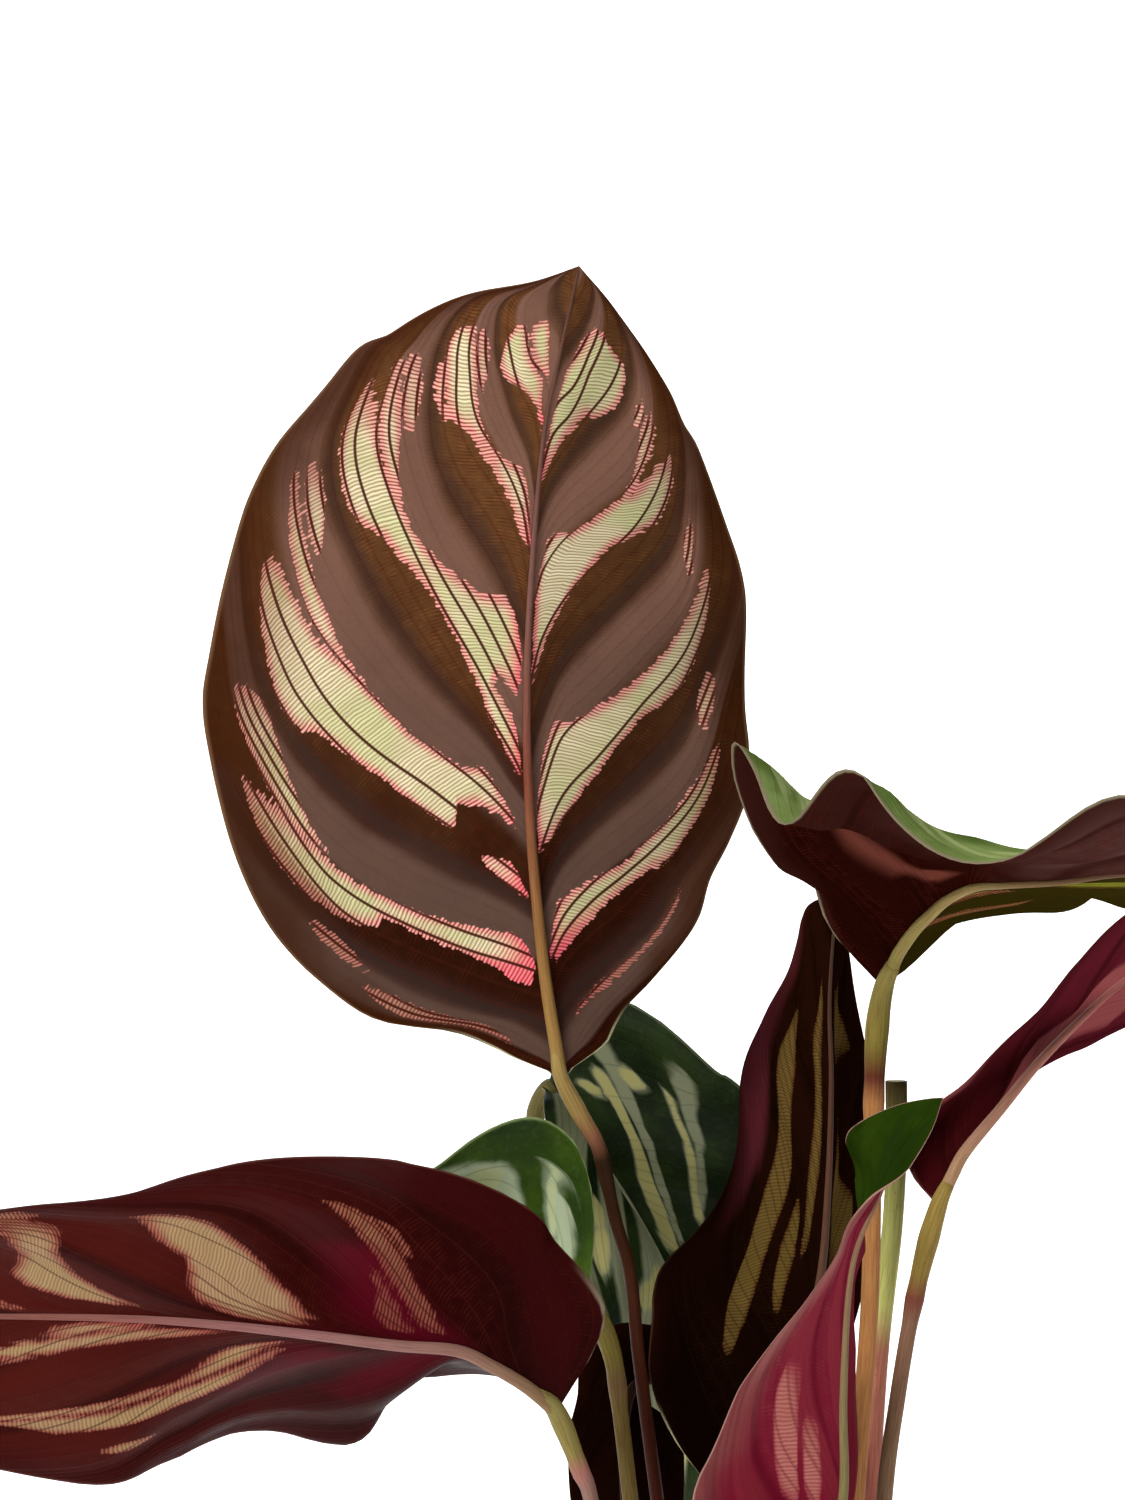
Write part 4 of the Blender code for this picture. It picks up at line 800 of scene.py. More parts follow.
def bladeMaterial(name, look):
    # underside: ground, stripes of cross lines, veins and rim; upper side: greens, silver and pale cells;
    # the sideMap's first number picks the side
    make = NodeMaker(name, look)
    distance, hatch, rootness = make.attribute("stripeMap")
    number, spacing, across = make.attribute("veinMap")
    upper, tone, length = make.attribute("sideMap")
    valleyShade, silver, glow = make.attribute("groundMap")
    cloud, fine = make.noise(bladeNoise["cloud"], 3), make.noise(bladeNoise["fine"])
    wander = make.noise(bladeNoise["wander"])
    soft = tone + (cloud - 0.5) * 0.5
    # cross lines: 0 on a line, 1 half way to the next; each has its own length and brightness in each cell
    phase = hatch / look["hatchEvery"] + wander * 1.2
    wave = abs(make.math("FRACT", phase) - 0.5) * 2.0
    pick = make.white(make.vector(make.math("FLOOR", phase), make.math("FLOOR", number), 0.0))
    edge = distance - (pick * look["tooth"] - look["outward"]) - wave * wave * look["taper"]
    inside = make.step(edge, -look["edgeSoft"], look["edgeSoft"])
    veinAway = abs(make.math("FRACT", number + 0.5) - 0.5) * spacing
    veinLine = make.step(veinAway, look["veinWide"] * 0.6, look["veinWide"] * 1.5, 1.0, 0.0)
    # ground of the underside: browns, with mauve on the facets above the stripes, partly painted sheen,
    # and painted shade in each pleat's valley
    low = make.step(length + cloud * 0.3, look["lowFrom"], look["lowTo"])
    streak = make.step(wave, 0.25, 0.9) * make.step(make.noise(bladeNoise["streak"]), 0.35, 0.7)
    goldLine = make.step(wave, 0.25, 0.7, 1.0, 0.0) * make.step(make.noise(bladeNoise["gold"]), 0.48, 0.68)
    # soft zones: tints, and on the spreading leaf's ridge partly a painted highlight
    glowing = make.step(glow + cloud * 1.5, 0.7 - look["glowSoft"], 0.7 + look["glowSoft"])
    ground = make.paint(
        "brownLow", (low, "brownHigh"), (streak * look["streaks"], "vein"), (goldLine * low * 0.55, "gold"),
        (make.step(soft, 0.1, 0.9), make.blend(low, "mauveSheenLow", "mauveSheen")), (valleyShade * 0.7, "valleyShade"),
        (make.step(across + cloud * 0.25, *bladeEdges["margin"]) * 0.8, "marginBrown"), (fine * 0.25, "vein"),
        (glowing * 0.9, "glow"), (make.step(silver, -1.0, 1.0, 0.0, look["oliveShare"]), "olive"))
    # stripes: greenish in the core, pink at the edge and the root, faint at the margin and the blade's base
    core = make.step(distance + cloud * 0.8, 0.5, 2.6)
    pale = make.blend(make.step(make.noise(bladeNoise["core"]), 0.42, 0.62), "coreLine", "coreGreen")
    pinkEdge = make.step(distance, 0.0, 1.1, 0.3, 0.0) * make.step(across, 0.5, 0.75, 1.0, 0.2)
    rooted = make.math("MAXIMUM", rootness, pinkEdge)
    nearBase = make.step(number, *look["faintUntil"], 0.8, 0.0)
    faint = make.math("MAXIMUM", make.step(across, 0.62, 0.95, 0.0, 0.75), nearBase)
    line = make.paint("edgeLine", (core, pale), (rooted, "rootLine"), (faint, "faintLine"))
    gap = make.paint("edgeGap", (core, "coreGap"), (rooted, "rootGap"), (faint, ground))
    onLine = make.step(wave, 0.3, 0.8, 1.0, 0.0)
    stripe = make.paint(gap, (onLine, line), (pick * 0.28, gap), (glowing * look["glowOver"], "glow"))
    # veins show less on the mauve facets, under the painted sheen
    veinShow = veinLine * make.step(edge, -0.3, 0.3, make.step(soft, 0.1, 0.7, 0.3, 0.06), look["veinShare"])
    atBase = make.step(length, 0.03, 0.085, 1.0, 0.0) * make.step(across, *bladeEdges["base"])
    under = make.paint(
        ground, (inside, stripe), (veinShow, "vein"), (make.step(across, *bladeEdges["rim"]), "rim"),
        (atBase, "baseEdge"))
    # upper side
    blotch = make.step(soft, 0.3, 0.7) * make.step(across, 0.5, 0.75, look["blotch"], 0.0)
    flecks = make.step(make.noise(bladeNoise["fleck"], 3), 0.52, 0.72, 0.0, look["flecks"])
    ragged = distance + (wander - 0.5) * 0.9
    silverPale = make.blend(make.noise(bladeNoise["pale"], 3), "silver", "pale")
    top = make.paint(
        "green", (make.step(cloud, 0.35, 0.7), "freshGreen"), (blotch, "darkGreen"),
        (make.step(silver + wander, -0.1, 1.3), "silver"), (flecks, "silver"),
        (make.step(ragged, -0.9, 0.1, 0.0, 0.5), "silver"), (make.step(ragged, -0.1, 0.35), silverPale),
        (make.step(ragged, 0.2, 0.9), "pale"), (make.step(veinAway, 0.08, 0.4, 0.18, 0.0), "green"),
        (make.step(across, *bladeEdges["upperRim"]), "rim"))
    make.bump(wave * -0.25 + veinLine + fine * 0.35, 0.3, 0.0002)
    return make.finish(make.blend(upper, under, top), cloud * 0.2 + 0.36, look["shine"])


# Fine lines along a stalk, many to a turn, few to a millimetre; lines and spots multiply its colour by dark
stalkGrain = {"aroundScale": 5.0, "alongScale": 0.12, "spots": 700, "dark": (0.5, 0.36, 0.32), "shine": 0.06}


def stalkMaterial(name, places, colours):
    # colours at places along the length, darker in fine lines along it and in small spots
    make = NodeMaker(name)
    share, turn, along = make.attribute("stalkMap")
    ramp = make.node("ShaderNodeValToRGB", {0: share})
    elements = ramp.color_ramp.elements
    while len(elements) < len(places):
        elements.new(0.5)
    for element, place, colour in zip(elements, places, colours):
        element.position = place
        element.color = (*colour, 1)
    plain = Wire(make, ramp.outputs[0])
    lengthwise = make.vector(turn * stalkGrain["aroundScale"], along * stalkGrain["alongScale"], 0.0)
    lines, spots = make.noise(1.0, 3, lengthwise), make.noise(stalkGrain["spots"], 3)
    darker = make.blend(1.0, plain, stalkGrain["dark"], "MULTIPLY")
    inLine, inSpot = make.step(lines, 0.35, 0.75, 0.0, 0.6), make.step(spots, 0.62, 0.8, 0.0, 0.4)
    colour = make.paint(plain, (inLine, darker), (inSpot, darker))
    make.bump(lines + spots * 0.5, 0.4, 0.0003)
    return make.finish(colour, spots * 0.25 + 0.36, stalkGrain["shine"])


# Rows and columns of a half blade, of which the tall leaf has more, and measures in metres
bladeGrid = {
    "size": (118, 46), "fineSize": (176, 78), "marginShare": 0.35, "hatchSlant": 1.35, "thickness": 0.5 * mm,
    "pleatHeight": 1 * mm,
}
ribShape = {
    "base": 1.5 * mm, "tip": 0.3 * mm, "rings": 90, "sides": 14, "end": 0.995, "inset": 0.55, "long": 170}
# Halves of a blade: their side veins, the vein from which only every second one shows, and centres, the vein
# numbers at the middle of each stripe, where a pleat stands out, counted from the blade's base
halves = {
    "left": {"side": -1, "veins": leftVeins, "thinFrom": 29,
             "centres": [(-4, -1.2), (4.3, 0), (11, 1), (18.9, 2), (25.8, 3), (31.7, 4), (38, 5)]},
    "right": {"side": 1, "veins": rightVeins, "thinFrom": 24,
              "centres": [(-4, -1.2), (4.4, 0), (11, 1), (19.4, 2), (28.2, 3), (38, 4.2)]},
}


def halfBlade(leaf, half, patterns, rows, columns):
    # one half of a blade on a grid of vein number n and share u of the half width, with its maps:
    # stripeMap: millimetres inside a pale cell, millimetres across the hatching, pinkness at the midrib
    # veinMap: shown vein number plus 20, millimetres between veins, share of the half width
    # groundMap: 1 in the valley between two stripes, where shade is painted, millimetres inside a silver
    # patch and inside a soft zone
    # sideMap: 1 on the upper side, 1 above a stripe (mauve, with painted sheen) to 0 below it, share of the
    # length
    side, veins, thin = (halves[half][key] for key in ("side", "veins", "thinFrom"))
    first, last = min(veins), max(veins)
    every = np.linspace(first, last, 2001)
    margin = veinLength(veins, every, np.array([1.0]))[:, 0]
    progress = 0.5 * (every - first) / (last - first) + 0.5 * margin
    numbers = np.interp(np.linspace(0, 1, rows), progress, every)
    even, crowd = np.linspace(0, 1, columns), bladeGrid["marginShare"]
    across = np.sin(0.5 * np.pi * even) * crowd + even * (1 - crowd)
    length = veinLength(veins, numbers, across)
    u = np.broadcast_to(across, length.shape)
    n = np.broadcast_to(numbers[:, None], length.shape)
    middle = bladePoints(leaf, length, side * np.maximum(u, 1e-6))
    normal = bladeNormals(leaf, length, side * np.maximum(u, 1e-6))
    # steps along and across the veins give the distances in millimetres
    alongVein = unit(np.gradient(middle, axis=1))
    upVeins = np.gradient(middle, axis=0) / np.gradient(numbers)[:, None, None]
    spacing = np.linalg.norm(np.cross(upVeins, alongVein), axis=-1) / mm
    stepLength = np.linalg.norm(np.diff(middle, axis=1), axis=-1) / mm
    reach = np.concatenate([np.zeros((rows, 1)), np.cumsum(stepLength, axis=1)], axis=1)
    start = (upVeins[:, 0] * alongVein[:, 4]).sum(-1) / mm
    start = np.concatenate([[0], np.cumsum(0.5 * (start[1:] + start[:-1]) * np.diff(numbers))])
    hatch = reach + bladeGrid["hatchSlant"] * start[:, None] + 40
    patterns = {"upperPale": patterns.get("pale", {}), **patterns}
    distance, upperDistance, silver, glow = (
        stripeDistance(patterns.get(kind, {}).get(half, []), n, u, np.maximum(spacing, 0.2),
                       np.maximum(reach[:, -1:], 8))
        for kind in ("pale", "upperPale", "silver", "glow"))
    # pleats: a cosine wave from stripe to stripe, flat at the midrib, the margin and both ends
    pleat = np.interp(n, *np.array(halves[half]["centres"]).T)
    lift = bladeGrid["pleatHeight"] * np.cos(2 * np.pi * (pleat - 0.12)) * np.clip(spacing / 2.5, 0, 1)
    lift = lift * np.sin(np.pi * np.clip(u, 0, 1)) ** 0.7
    lift = lift * np.clip(length / 0.1, 0, 1) * np.clip((1 - length) / 0.1, 0, 1)
    middle = middle + normal * lift[..., None]
    # tone: 1 on the facet above a stripe, which the skin paints mauve, partly the leaf's colour and partly
    # painted sheen
    phase = pleat - np.floor(pleat)
    tone = np.clip(np.minimum((phase - 0.02) / 0.12, (0.64 - phase) / 0.22), 0, 1)
    pinkReach = 9 * np.clip(reach[:, -1:] / 60, 0.35, 1) + 11 * np.clip((4.2 - n) / 0.4, 0, 1)
    pinkness = np.clip(1.45 - reach / pinkReach, 0, 1) ** 1.3 * 0.95
    shown = np.where(n < thin, n, thin + (n - thin) / 2)
    # painted shade: a narrow band along the crease of each pleat, which the skin darkens
    valleyShade = np.exp(-((phase - 0.62) / 0.08) ** 2)
    veinMap = np.stack([shown + 20, spacing * np.where(n < thin, 1, 2), u], -1)
    groundMap = np.stack([valleyShade, silver, glow], -1)
    maps = {
        "stripeMap": [np.stack([one, hatch, pinkness], -1) for one in (upperDistance, distance)],
        "veinMap": (veinMap, veinMap),
        "groundMap": (groundMap, groundMap),
        "sideMap": [np.stack([one * np.ones_like(u), tone, length], -1) for one in (1, 0)],
    }
    thickness = bladeGrid["thickness"] * (1 - 0.6 * np.clip((u - 0.97) / 0.03, 0, 1))
    return sheetShell(middle, normal, thickness, side < 0, maps)


def ribGrid(leaf):
    # midrib: a rod that stands out on the underside and shrinks to the tip, as the power 1.3 of what is left
    shares = np.linspace(0, ribShape["end"], ribShape["rings"])
    midrib = np.array(leaf["midrib"]) * mm
    path, ahead = pointsAlong(midrib, shares), aheadAlong(midrib, shares)
    up = upperDirection(leaf, ahead, shares)
    radius = ribShape["tip"] + (ribShape["base"] - ribShape["tip"]) * (1 - shares) ** 1.3
    path = path - up * (ribShape["inset"] * radius)[:, None]
    first, shown = np.cross(up[0], ahead[0]), np.concatenate([shares[:1], shares, shares[-1:]])
    return rodShell(path, ahead, radius, ribShape["sides"], first, shown, ribShape["long"])


# Colours along a stalk from root to blade: root, lower, middle, below the node, node, above it, blade
nodePlaces = {"tall_leaf": 0.914, "spreading_leaf": 0.905}
cutPlaces = (0, 0.3, 0.6, 0.73, 0.77, 0.96, 1)
stalkLooks = {
    "tall_leaf": ((0.06, 0.009, 0.004), (0.085, 0.013, 0.006), (0.065, 0.011, 0.004), (0.022, 0.008, 0.0015),
                  (0.17, 0.07, 0.035), (0.25, 0.165, 0.052), (0.27, 0.19, 0.06)),
    "left_leaf": ((0.15, 0.06, 0.05), (0.18, 0.09, 0.07), (0.19, 0.11, 0.08), (0.2, 0.11, 0.085),
                  (0.3, 0.12, 0.1), (0.2, 0.16, 0.045), (0.22, 0.19, 0.06)),
    "nodding_leaf": ((0.07, 0.03, 0.01), (0.08, 0.05, 0.012), (0.1, 0.07, 0.018), (0.1, 0.08, 0.02),
                     (0.13, 0.09, 0.03), (0.15, 0.13, 0.035), (0.19, 0.165, 0.055)),
    "small_leaf": ((0.1, 0.04, 0.02), (0.14, 0.09, 0.03), (0.17, 0.12, 0.035), (0.16, 0.11, 0.03),
                   (0.19, 0.11, 0.05), (0.17, 0.13, 0.03), (0.15, 0.12, 0.03)),
    "shaded_leaf": ((0.04, 0.01, 0.006), (0.05, 0.014, 0.007), (0.05, 0.02, 0.008), (0.05, 0.02, 0.008),
                    (0.08, 0.03, 0.015), (0.09, 0.06, 0.015), (0.09, 0.06, 0.015)),
    "spreading_leaf": ((0.32, 0.105, 0.045), (0.38, 0.155, 0.055), (0.37, 0.165, 0.055), (0.3, 0.135, 0.045),
                       (0.085, 0.018, 0.01), (0.15, 0.115, 0.022), (0.22, 0.18, 0.05)),
    "right_leaf": ((0.34, 0.12, 0.1), (0.2, 0.11, 0.065), (0.18, 0.115, 0.06), (0.19, 0.1, 0.06),
                   (0.16, 0.045, 0.03), (0.22, 0.15, 0.035), (0.25, 0.18, 0.045)),
    "young_leaf": ((0.3, 0.12, 0.08), (0.26, 0.1, 0.07), (0.22, 0.1, 0.06), (0.2, 0.12, 0.05),
                   (0.24, 0.12, 0.06), (0.18, 0.14, 0.05), (0.16, 0.14, 0.05)),
    "low_leaf": ((0.05, 0.012, 0.008), (0.05, 0.012, 0.008), (0.045, 0.012, 0.007), (0.05, 0.016, 0.008),
                 (0.08, 0.03, 0.015), (0.07, 0.045, 0.014), (0.07, 0.045, 0.014)),
    "cut_stalk": ((0.34, 0.1, 0.085), (0.32, 0.12, 0.085), (0.34, 0.11, 0.08), (0.36, 0.14, 0.09),
                  (0.42, 0.43, 0.13), (0.035, 0.02, 0.005), (0.34, 0.31, 0.13)),
}
# Colours along a midrib from base to tip
ribPlaces = (0, 0.16, 0.36, 0.6, 1)
brownRib = ((0.27, 0.17, 0.05), (0.23, 0.115, 0.035), (0.17, 0.05, 0.03), (0.16, 0.075, 0.06),
            (0.09, 0.04, 0.025))
ribLooks = {
    "left_leaf": ((0.2, 0.13, 0.055), (0.24, 0.125, 0.095), (0.25, 0.115, 0.11), (0.2, 0.075, 0.06),
                  (0.1, 0.03, 0.02)),
    "spreading_leaf": ((0.2, 0.165, 0.045), (0.26, 0.2, 0.06), (0.24, 0.17, 0.06), (0.12, 0.06, 0.03),
                       (0.07, 0.03, 0.02)),
    "right_leaf": ((0.3, 0.19, 0.09), (0.32, 0.17, 0.11), (0.3, 0.12, 0.09), (0.22, 0.06, 0.055),
                   (0.12, 0.03, 0.03)),
    "shaded_leaf": ((0.05, 0.03, 0.012), (0.08, 0.05, 0.02), (0.1, 0.05, 0.03), (0.08, 0.035, 0.022),
                    (0.04, 0.02, 0.01)),
    "young_leaf": ((0.14, 0.1, 0.035), (0.15, 0.12, 0.045), (0.16, 0.13, 0.05), (0.18, 0.12, 0.06),
                   (0.2, 0.08, 0.06)),
    "low_leaf": ((0.04, 0.015, 0.008),) * 5,
    "nodding_leaf": ((0.4, 0.43, 0.28), (0.42, 0.45, 0.3), (0.38, 0.42, 0.26), (0.28, 0.32, 0.17),
                     (0.16, 0.2, 0.09)),
    "small_leaf": ((0.3, 0.34, 0.16), (0.32, 0.36, 0.18), (0.3, 0.34, 0.16), (0.24, 0.28, 0.12),
                   (0.16, 0.2, 0.08)),
}


def buildLeaf(name, leaf):
    # two half grids joined into one sheet, and a rod for the midrib
    size = bladeGrid["fineSize" if name == "tall_leaf" else "size"]
    grids = [halfBlade(leaf, half, patternsOf[name], *size) for half in halves]
    blade = putMesh(name + "_sheet", *joinGrids(grids))
    blade.data.materials.append(bladeMaterial(name + "_skin", leafLooks[name]))
    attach(blade, "root")
    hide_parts(name + "_blade")
    rib = putMesh(name + "_rib", *ribGrid(leaf))
    rib.data.materials.append(stalkMaterial(name + "_rib_skin", ribPlaces, ribLooks.get(name, brownRib)))
    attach(rib, "root")


# Stalks: millimetres of radius at shares of the length, times the stalk's own width; rings start square to
# the direction ringStart
stalkShape = {
    "sides": 20, "step": 1.6, "underRib": 0.8, "node": 0.885, "cutEnd": 0.96,
    "ringStart": (0, 1, 0.25),
    "radii": [(0, 3.0), (0.22, 2.8), (0.42, 1.85), (0.86, 1.7), (0.885, 2.1), (0.905, 1.95), (0.945, 2.35),
              (0.98, 1.9), (1, 1.45)],
    "cutRadii": [(0, 3.0), (0.22, 2.8), (0.5, 2.2), (0.9, 2.25), (1, 2.4)],
    "widths": {"tall_leaf": 0.82, "left_leaf": 0.95, "spreading_leaf": 1.12},
}


def buildStalk(name, points, leaf=None):
    # rod along the stalk's curve, whose radius is the table's at each share, times the stalk's own width
    metres = np.array(points, float) * mm
    if leaf is not None:
        # runs on under the blade's midrib, so that the two join without a step
        midrib = np.array(leaf["midrib"], float) * mm
        under = -np.array(leaf["upperSide"][0][1], float) * stalkShape["underRib"] * mm
        metres = np.vstack([metres, pointsAlong(midrib, np.array([0, 0.04])) + under])
    length = np.linalg.norm(np.diff(smoothCurve(metres), axis=0), axis=1).sum()
    shares = np.linspace(0, 1, int(length / (stalkShape["step"] * mm)))
    path, ahead = pointsAlong(metres, shares), aheadAlong(metres, shares, 0.012)
    radii = valueAt(stalkShape["cutRadii" if leaf is None else "radii"], shares)
    radii = radii * stalkShape["widths"].get(name, 1.0) * mm
    first = unit(np.cross(ahead[0], np.array(stalkShape["ringStart"])))
    # only the middle of a cut face reaches share 1, which is the pale end of the cut stalk's colours
    shown = np.concatenate([[0], shares * (stalkShape["cutEnd"] if leaf is None else 1), [1]])
    rod = rodShell(path, ahead, radii, stalkShape["sides"], first, shown, length / mm)
    stalk = putMesh(name + "_stem", *rod)
    node = nodePlaces.get(name, stalkShape["node"])
    places = cutPlaces if leaf is None else (0.0, 0.3, 0.6, node - 0.02, node, node + 0.025, 1.0)
    stalk.data.materials.append(stalkMaterial(name + "_stem_skin", places, stalkLooks[name]))
    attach(stalk, "root")
    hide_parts(name if leaf is None else name + "_stalk")


for leafName, leafTable in leafTables.items():
    buildLeaf(leafName, leafTable)
    buildStalk(leafName, leafTable["stalk"], leafTable)
buildStalk("cut_stalk", cutStalkLine)
print("leaves and stalks made")

# Pot in millimetres: radii of base, band and lip, heights of the whole and of the band's foot, drain holes
potShape = {
    "height": 118, "base": 47, "band": 65, "lip": 69.5, "wall": 1.6, "floor": 2.2, "bandFoot": 96,
    "step": 2.5, "rounding": 0.8, "sides": 144, "holes": 6, "holeRadius": 4.5, "holeCircle": 30,
    "holeSides": 32,
}
potLook = {
    "dark": (0.014, 0.015, 0.017), "light": (0.028, 0.029, 0.032), "dust": (0.11, 0.085, 0.06),
    "grainScale": 900, "markScale": 38, "dustScale": 14, "rings": 5200, "shine": 0.35,
}


def roundedProfile(corners, size, steps=5):
    # each corner becomes a short curve: (1-t)^2 of its start + 2t(1-t) of the corner + t^2 of its end
    corners = np.array(corners, float)
    inner, before, after = corners[1:-1], corners[:-2] - corners[1:-1], corners[2:] - corners[1:-1]
    shorter = np.minimum(np.linalg.norm(before, axis=1), np.linalg.norm(after, axis=1))
    near = np.minimum(size, 0.4 * shorter)[:, None]
    start, end = inner + unit(before) * near, inner + unit(after) * near
    t = np.linspace(0, 1, steps)[None, :, None]
    curve = start[:, None] * (1 - t) ** 2 + inner[:, None] * 2 * t * (1 - t) + end[:, None] * t**2
    return np.vstack([corners[:1], curve.reshape(-1, 2), corners[-1:]])


def lathe(name, profile, sides, centre=(0, 0), smooth=True):
    # profile of radius and height, in millimetres, turned round an upright axis
    profile = np.array(profile, float)
    angle = 2 * np.pi * np.arange(sides) / sides
    radius, height = profile[:, None, 0], profile[:, None, 1]
    points = [centre[0] + radius * np.cos(angle), centre[1] + radius * np.sin(angle),
              np.broadcast_to(height, (len(profile), sides))]
    quads = gridQuads(len(profile), sides, wrap=True)
    return putMesh(name, np.stack(points, -1).reshape(-1, 3) * mm, quads, smooth=smooth)


def potMaterial():
    # moulded plastic: scuffs and dust over fine grain, with faint rings from the mould
    make = NodeMaker("pot_plastic", potLook)
    grain, marks = make.noise(potLook["grainScale"], 3), make.noise(potLook["markScale"], 4)
    dust = make.noise(potLook["dustScale"], 3)
    rings = make.math("SINE", make.split(make.place())[2] * potLook["rings"])
    dusty = make.step(dust, 0.5, 0.8, 0.0, 0.15)
    colour = make.paint("dark", (make.step(marks, 0.35, 0.75), "light"), (dusty, "dust"))
    make.bump(grain + rings * 0.12, 0.35, 0.0002)
    return make.finish(colour, marks * 0.35 + 0.38, potLook["shine"])


def buildPot():
    # outline turned round the axis: under the floor, up the outside, over the lip and down the inside
    s = potShape
    foot, inner = s["base"] - s["wall"], s["band"] - s["wall"]
    profile = roundedProfile([
        (0, 1.0), (s["base"] - 5, 1.0), (s["base"] - 4, 0), (s["base"] - 2, 0), (s["base"], 2),
        (s["band"] - s["step"], s["bandFoot"] - 2), (s["band"], s["bandFoot"]),
        (s["lip"] - 2, s["height"] - 2.5), (s["lip"], s["height"] - 1.6), (s["lip"], s["height"]),
        (s["lip"] - 2 - s["wall"], s["height"]), (inner, s["bandFoot"] + 0.4),
        (inner - s["step"], s["bandFoot"] - 1.6), (foot, s["floor"] + 1), (foot - 1, s["floor"]),
        (0, s["floor"]),
    ], s["rounding"])
    pot = lathe("pot_body", profile, s["sides"])
    # a drill through the floor for each drain hole
    drill = [(0, -3), (s["holeRadius"], -3), (s["holeRadius"], 6), (0, 6)]
    angle = 2 * np.pi * (np.arange(s["holes"]) + 0.3) / s["holes"]
    centres = s["holeCircle"] * np.stack([np.cos(angle), np.sin(angle)], -1)
    drills = []
    for k, centre in enumerate(centres):
        drills.append(lathe(f"drill{k}", drill, s["holeSides"], centre, smooth=False))
        cut = pot.modifiers.new(f"hole{k}", "BOOLEAN")
        cut.object, cut.operation, cut.solver = drills[k], "DIFFERENCE", "EXACT"
    holed = bpy.data.meshes.new_from_object(pot.evaluated_get(bpy.context.evaluated_depsgraph_get()))
    pot.modifiers.clear()
    pot.data = holed
    holed.shade_smooth()
    holed.set_sharp_from_angle(angle=0.7)
    for one in drills:
        bpy.data.objects.remove(one)
    holed.materials.clear()
    holed.materials.append(potMaterial())
    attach(pot, "root")
    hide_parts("pot")


buildPot()
print("pot made")

# Potting mix in millimetres; roughness is the height of a wave as a share of its length, edgeDrop how far the
# top's edge falls, and below has the radius and height of each row under the edge
mixShape = {
    "level": 106, "mound": 4, "moundRadius": 35, "waves": (40, 31, 24, 18, 14, 11, 9, 7.5, 6.2, 5.3, 4.6, 4),
    "roughness": 0.014, "seed": 7, "edgeDrop": 2, "edgeFrom": 56, "edgeWide": 7.4, "radius": 63.4,
    "rings": 90, "sides": 200,
    "below": [(63.6, 103), (62.9, 97), (60.3, 94), (44.9, 3.6), (43.8, 2.7), (0, 2.7)],
}
mixLook = {"dark": (0.006, 0.0035, 0.002), "light": (0.055, 0.030, 0.016), "pale": (0.16, 0.10, 0.06)}
# Loose pieces on the mix, within looseReach of its middle; sizes are their radii before the stretch
looseReach = 61.5
looseKinds = {
    "mix_crumbs": {
        "skin": "crumb_skin", "seed": 11, "count": 1500, "sizes": (0.7, 2.3), "stretch": (1.2, 1, 0.8),
        "upright": 1, "dark": (0.008, 0.004, 0.002), "light": (0.085, 0.046, 0.024),
        "pale": (0.17, 0.11, 0.06)},
    "mix_perlite": {
        "skin": "perlite_skin", "seed": 12, "count": 70, "sizes": (0.9, 1.9), "stretch": (1.1, 1, 0.9),
        "upright": 1, "dark": (0.42, 0.40, 0.36), "light": (0.74, 0.72, 0.68), "pale": (0.30, 0.26, 0.20)},
    "mix_fibres": {
        "skin": "fibre_skin", "seed": 13, "count": 90, "sizes": (0.5, 0.9), "stretch": (7, 0.7, 0.5),
        "upright": 0.25, "dark": (0.06, 0.028, 0.012), "light": (0.2, 0.11, 0.05), "pale": (0.1, 0.05, 0.02)},
}


def mixMaterial(name, look):
    # each crumb has its own tone, between dark and light, with paler specks
    make = NodeMaker(name, look)
    tone = make.attribute("crumbMap")[0]
    crumbs, specks = make.noise(420, 5, roughness=0.7), make.noise(1500)
    light, speck = make.step(tone * 0.6 + crumbs * 0.5, 0.2, 0.85), make.step(specks, 0.66, 0.8, 0.0, 0.6)
    make.bump(crumbs, 0.9, 0.0008)
    return make.finish(make.paint("dark", (light, "light"), (speck, "pale")), 0.93, 0.15)


def mixHeight(x, y):
    # level + mound + sines of all directions, each as high as a share of its length - the drop at the edge
    rng = np.random.default_rng(mixShape["seed"])
    high = mixShape["level"] + mixShape["mound"] * np.exp(-(x**2 + y**2) / mixShape["moundRadius"] ** 2)
    for wavelength in mixShape["waves"]:
        direction, offset = rng.uniform(0, 2 * np.pi, 2)
        wave = 2 * np.pi / wavelength * (x * np.cos(direction) + y * np.sin(direction))
        high = high + wavelength * mixShape["roughness"] * np.sin(wave + offset)
    outward = np.clip((np.hypot(x, y) - mixShape["edgeFrom"]) / mixShape["edgeWide"], 0, 1)
    return high - mixShape["edgeDrop"] * outward**2


def buildMix():
    # rings from the middle of the top to its edge, then the rows below it
    rings, sides = mixShape["rings"], mixShape["sides"]
    belowRadius, belowHeight = np.array(mixShape["below"]).T
    radius = np.concatenate([np.linspace(0, mixShape["radius"], rings), belowRadius])[:, None]
    angle = (2 * np.pi * np.arange(sides) / sides)[None, :]
    x, y = radius * np.cos(angle), radius * np.sin(angle)
    z = np.vstack([mixHeight(x[:rings], y[:rings]), np.repeat(belowHeight[:, None], sides, 1)])
    points = np.stack([x, y, z], -1).reshape(-1, 3) * mm
    tone = 0.5 + 0.5 * np.sin(points[:, :1] * 900) * np.sin(points[:, 1:2] * 800)
    quads = gridQuads(len(radius), sides, wrap=True)[:, ::-1]
    ground = putMesh("mix_ground", points, quads, {"crumbMap": tone * np.ones(3)})
    ground.data.materials.append(mixMaterial("mix_skin", mixLook))
    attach(ground, "root")
    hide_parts("soil")


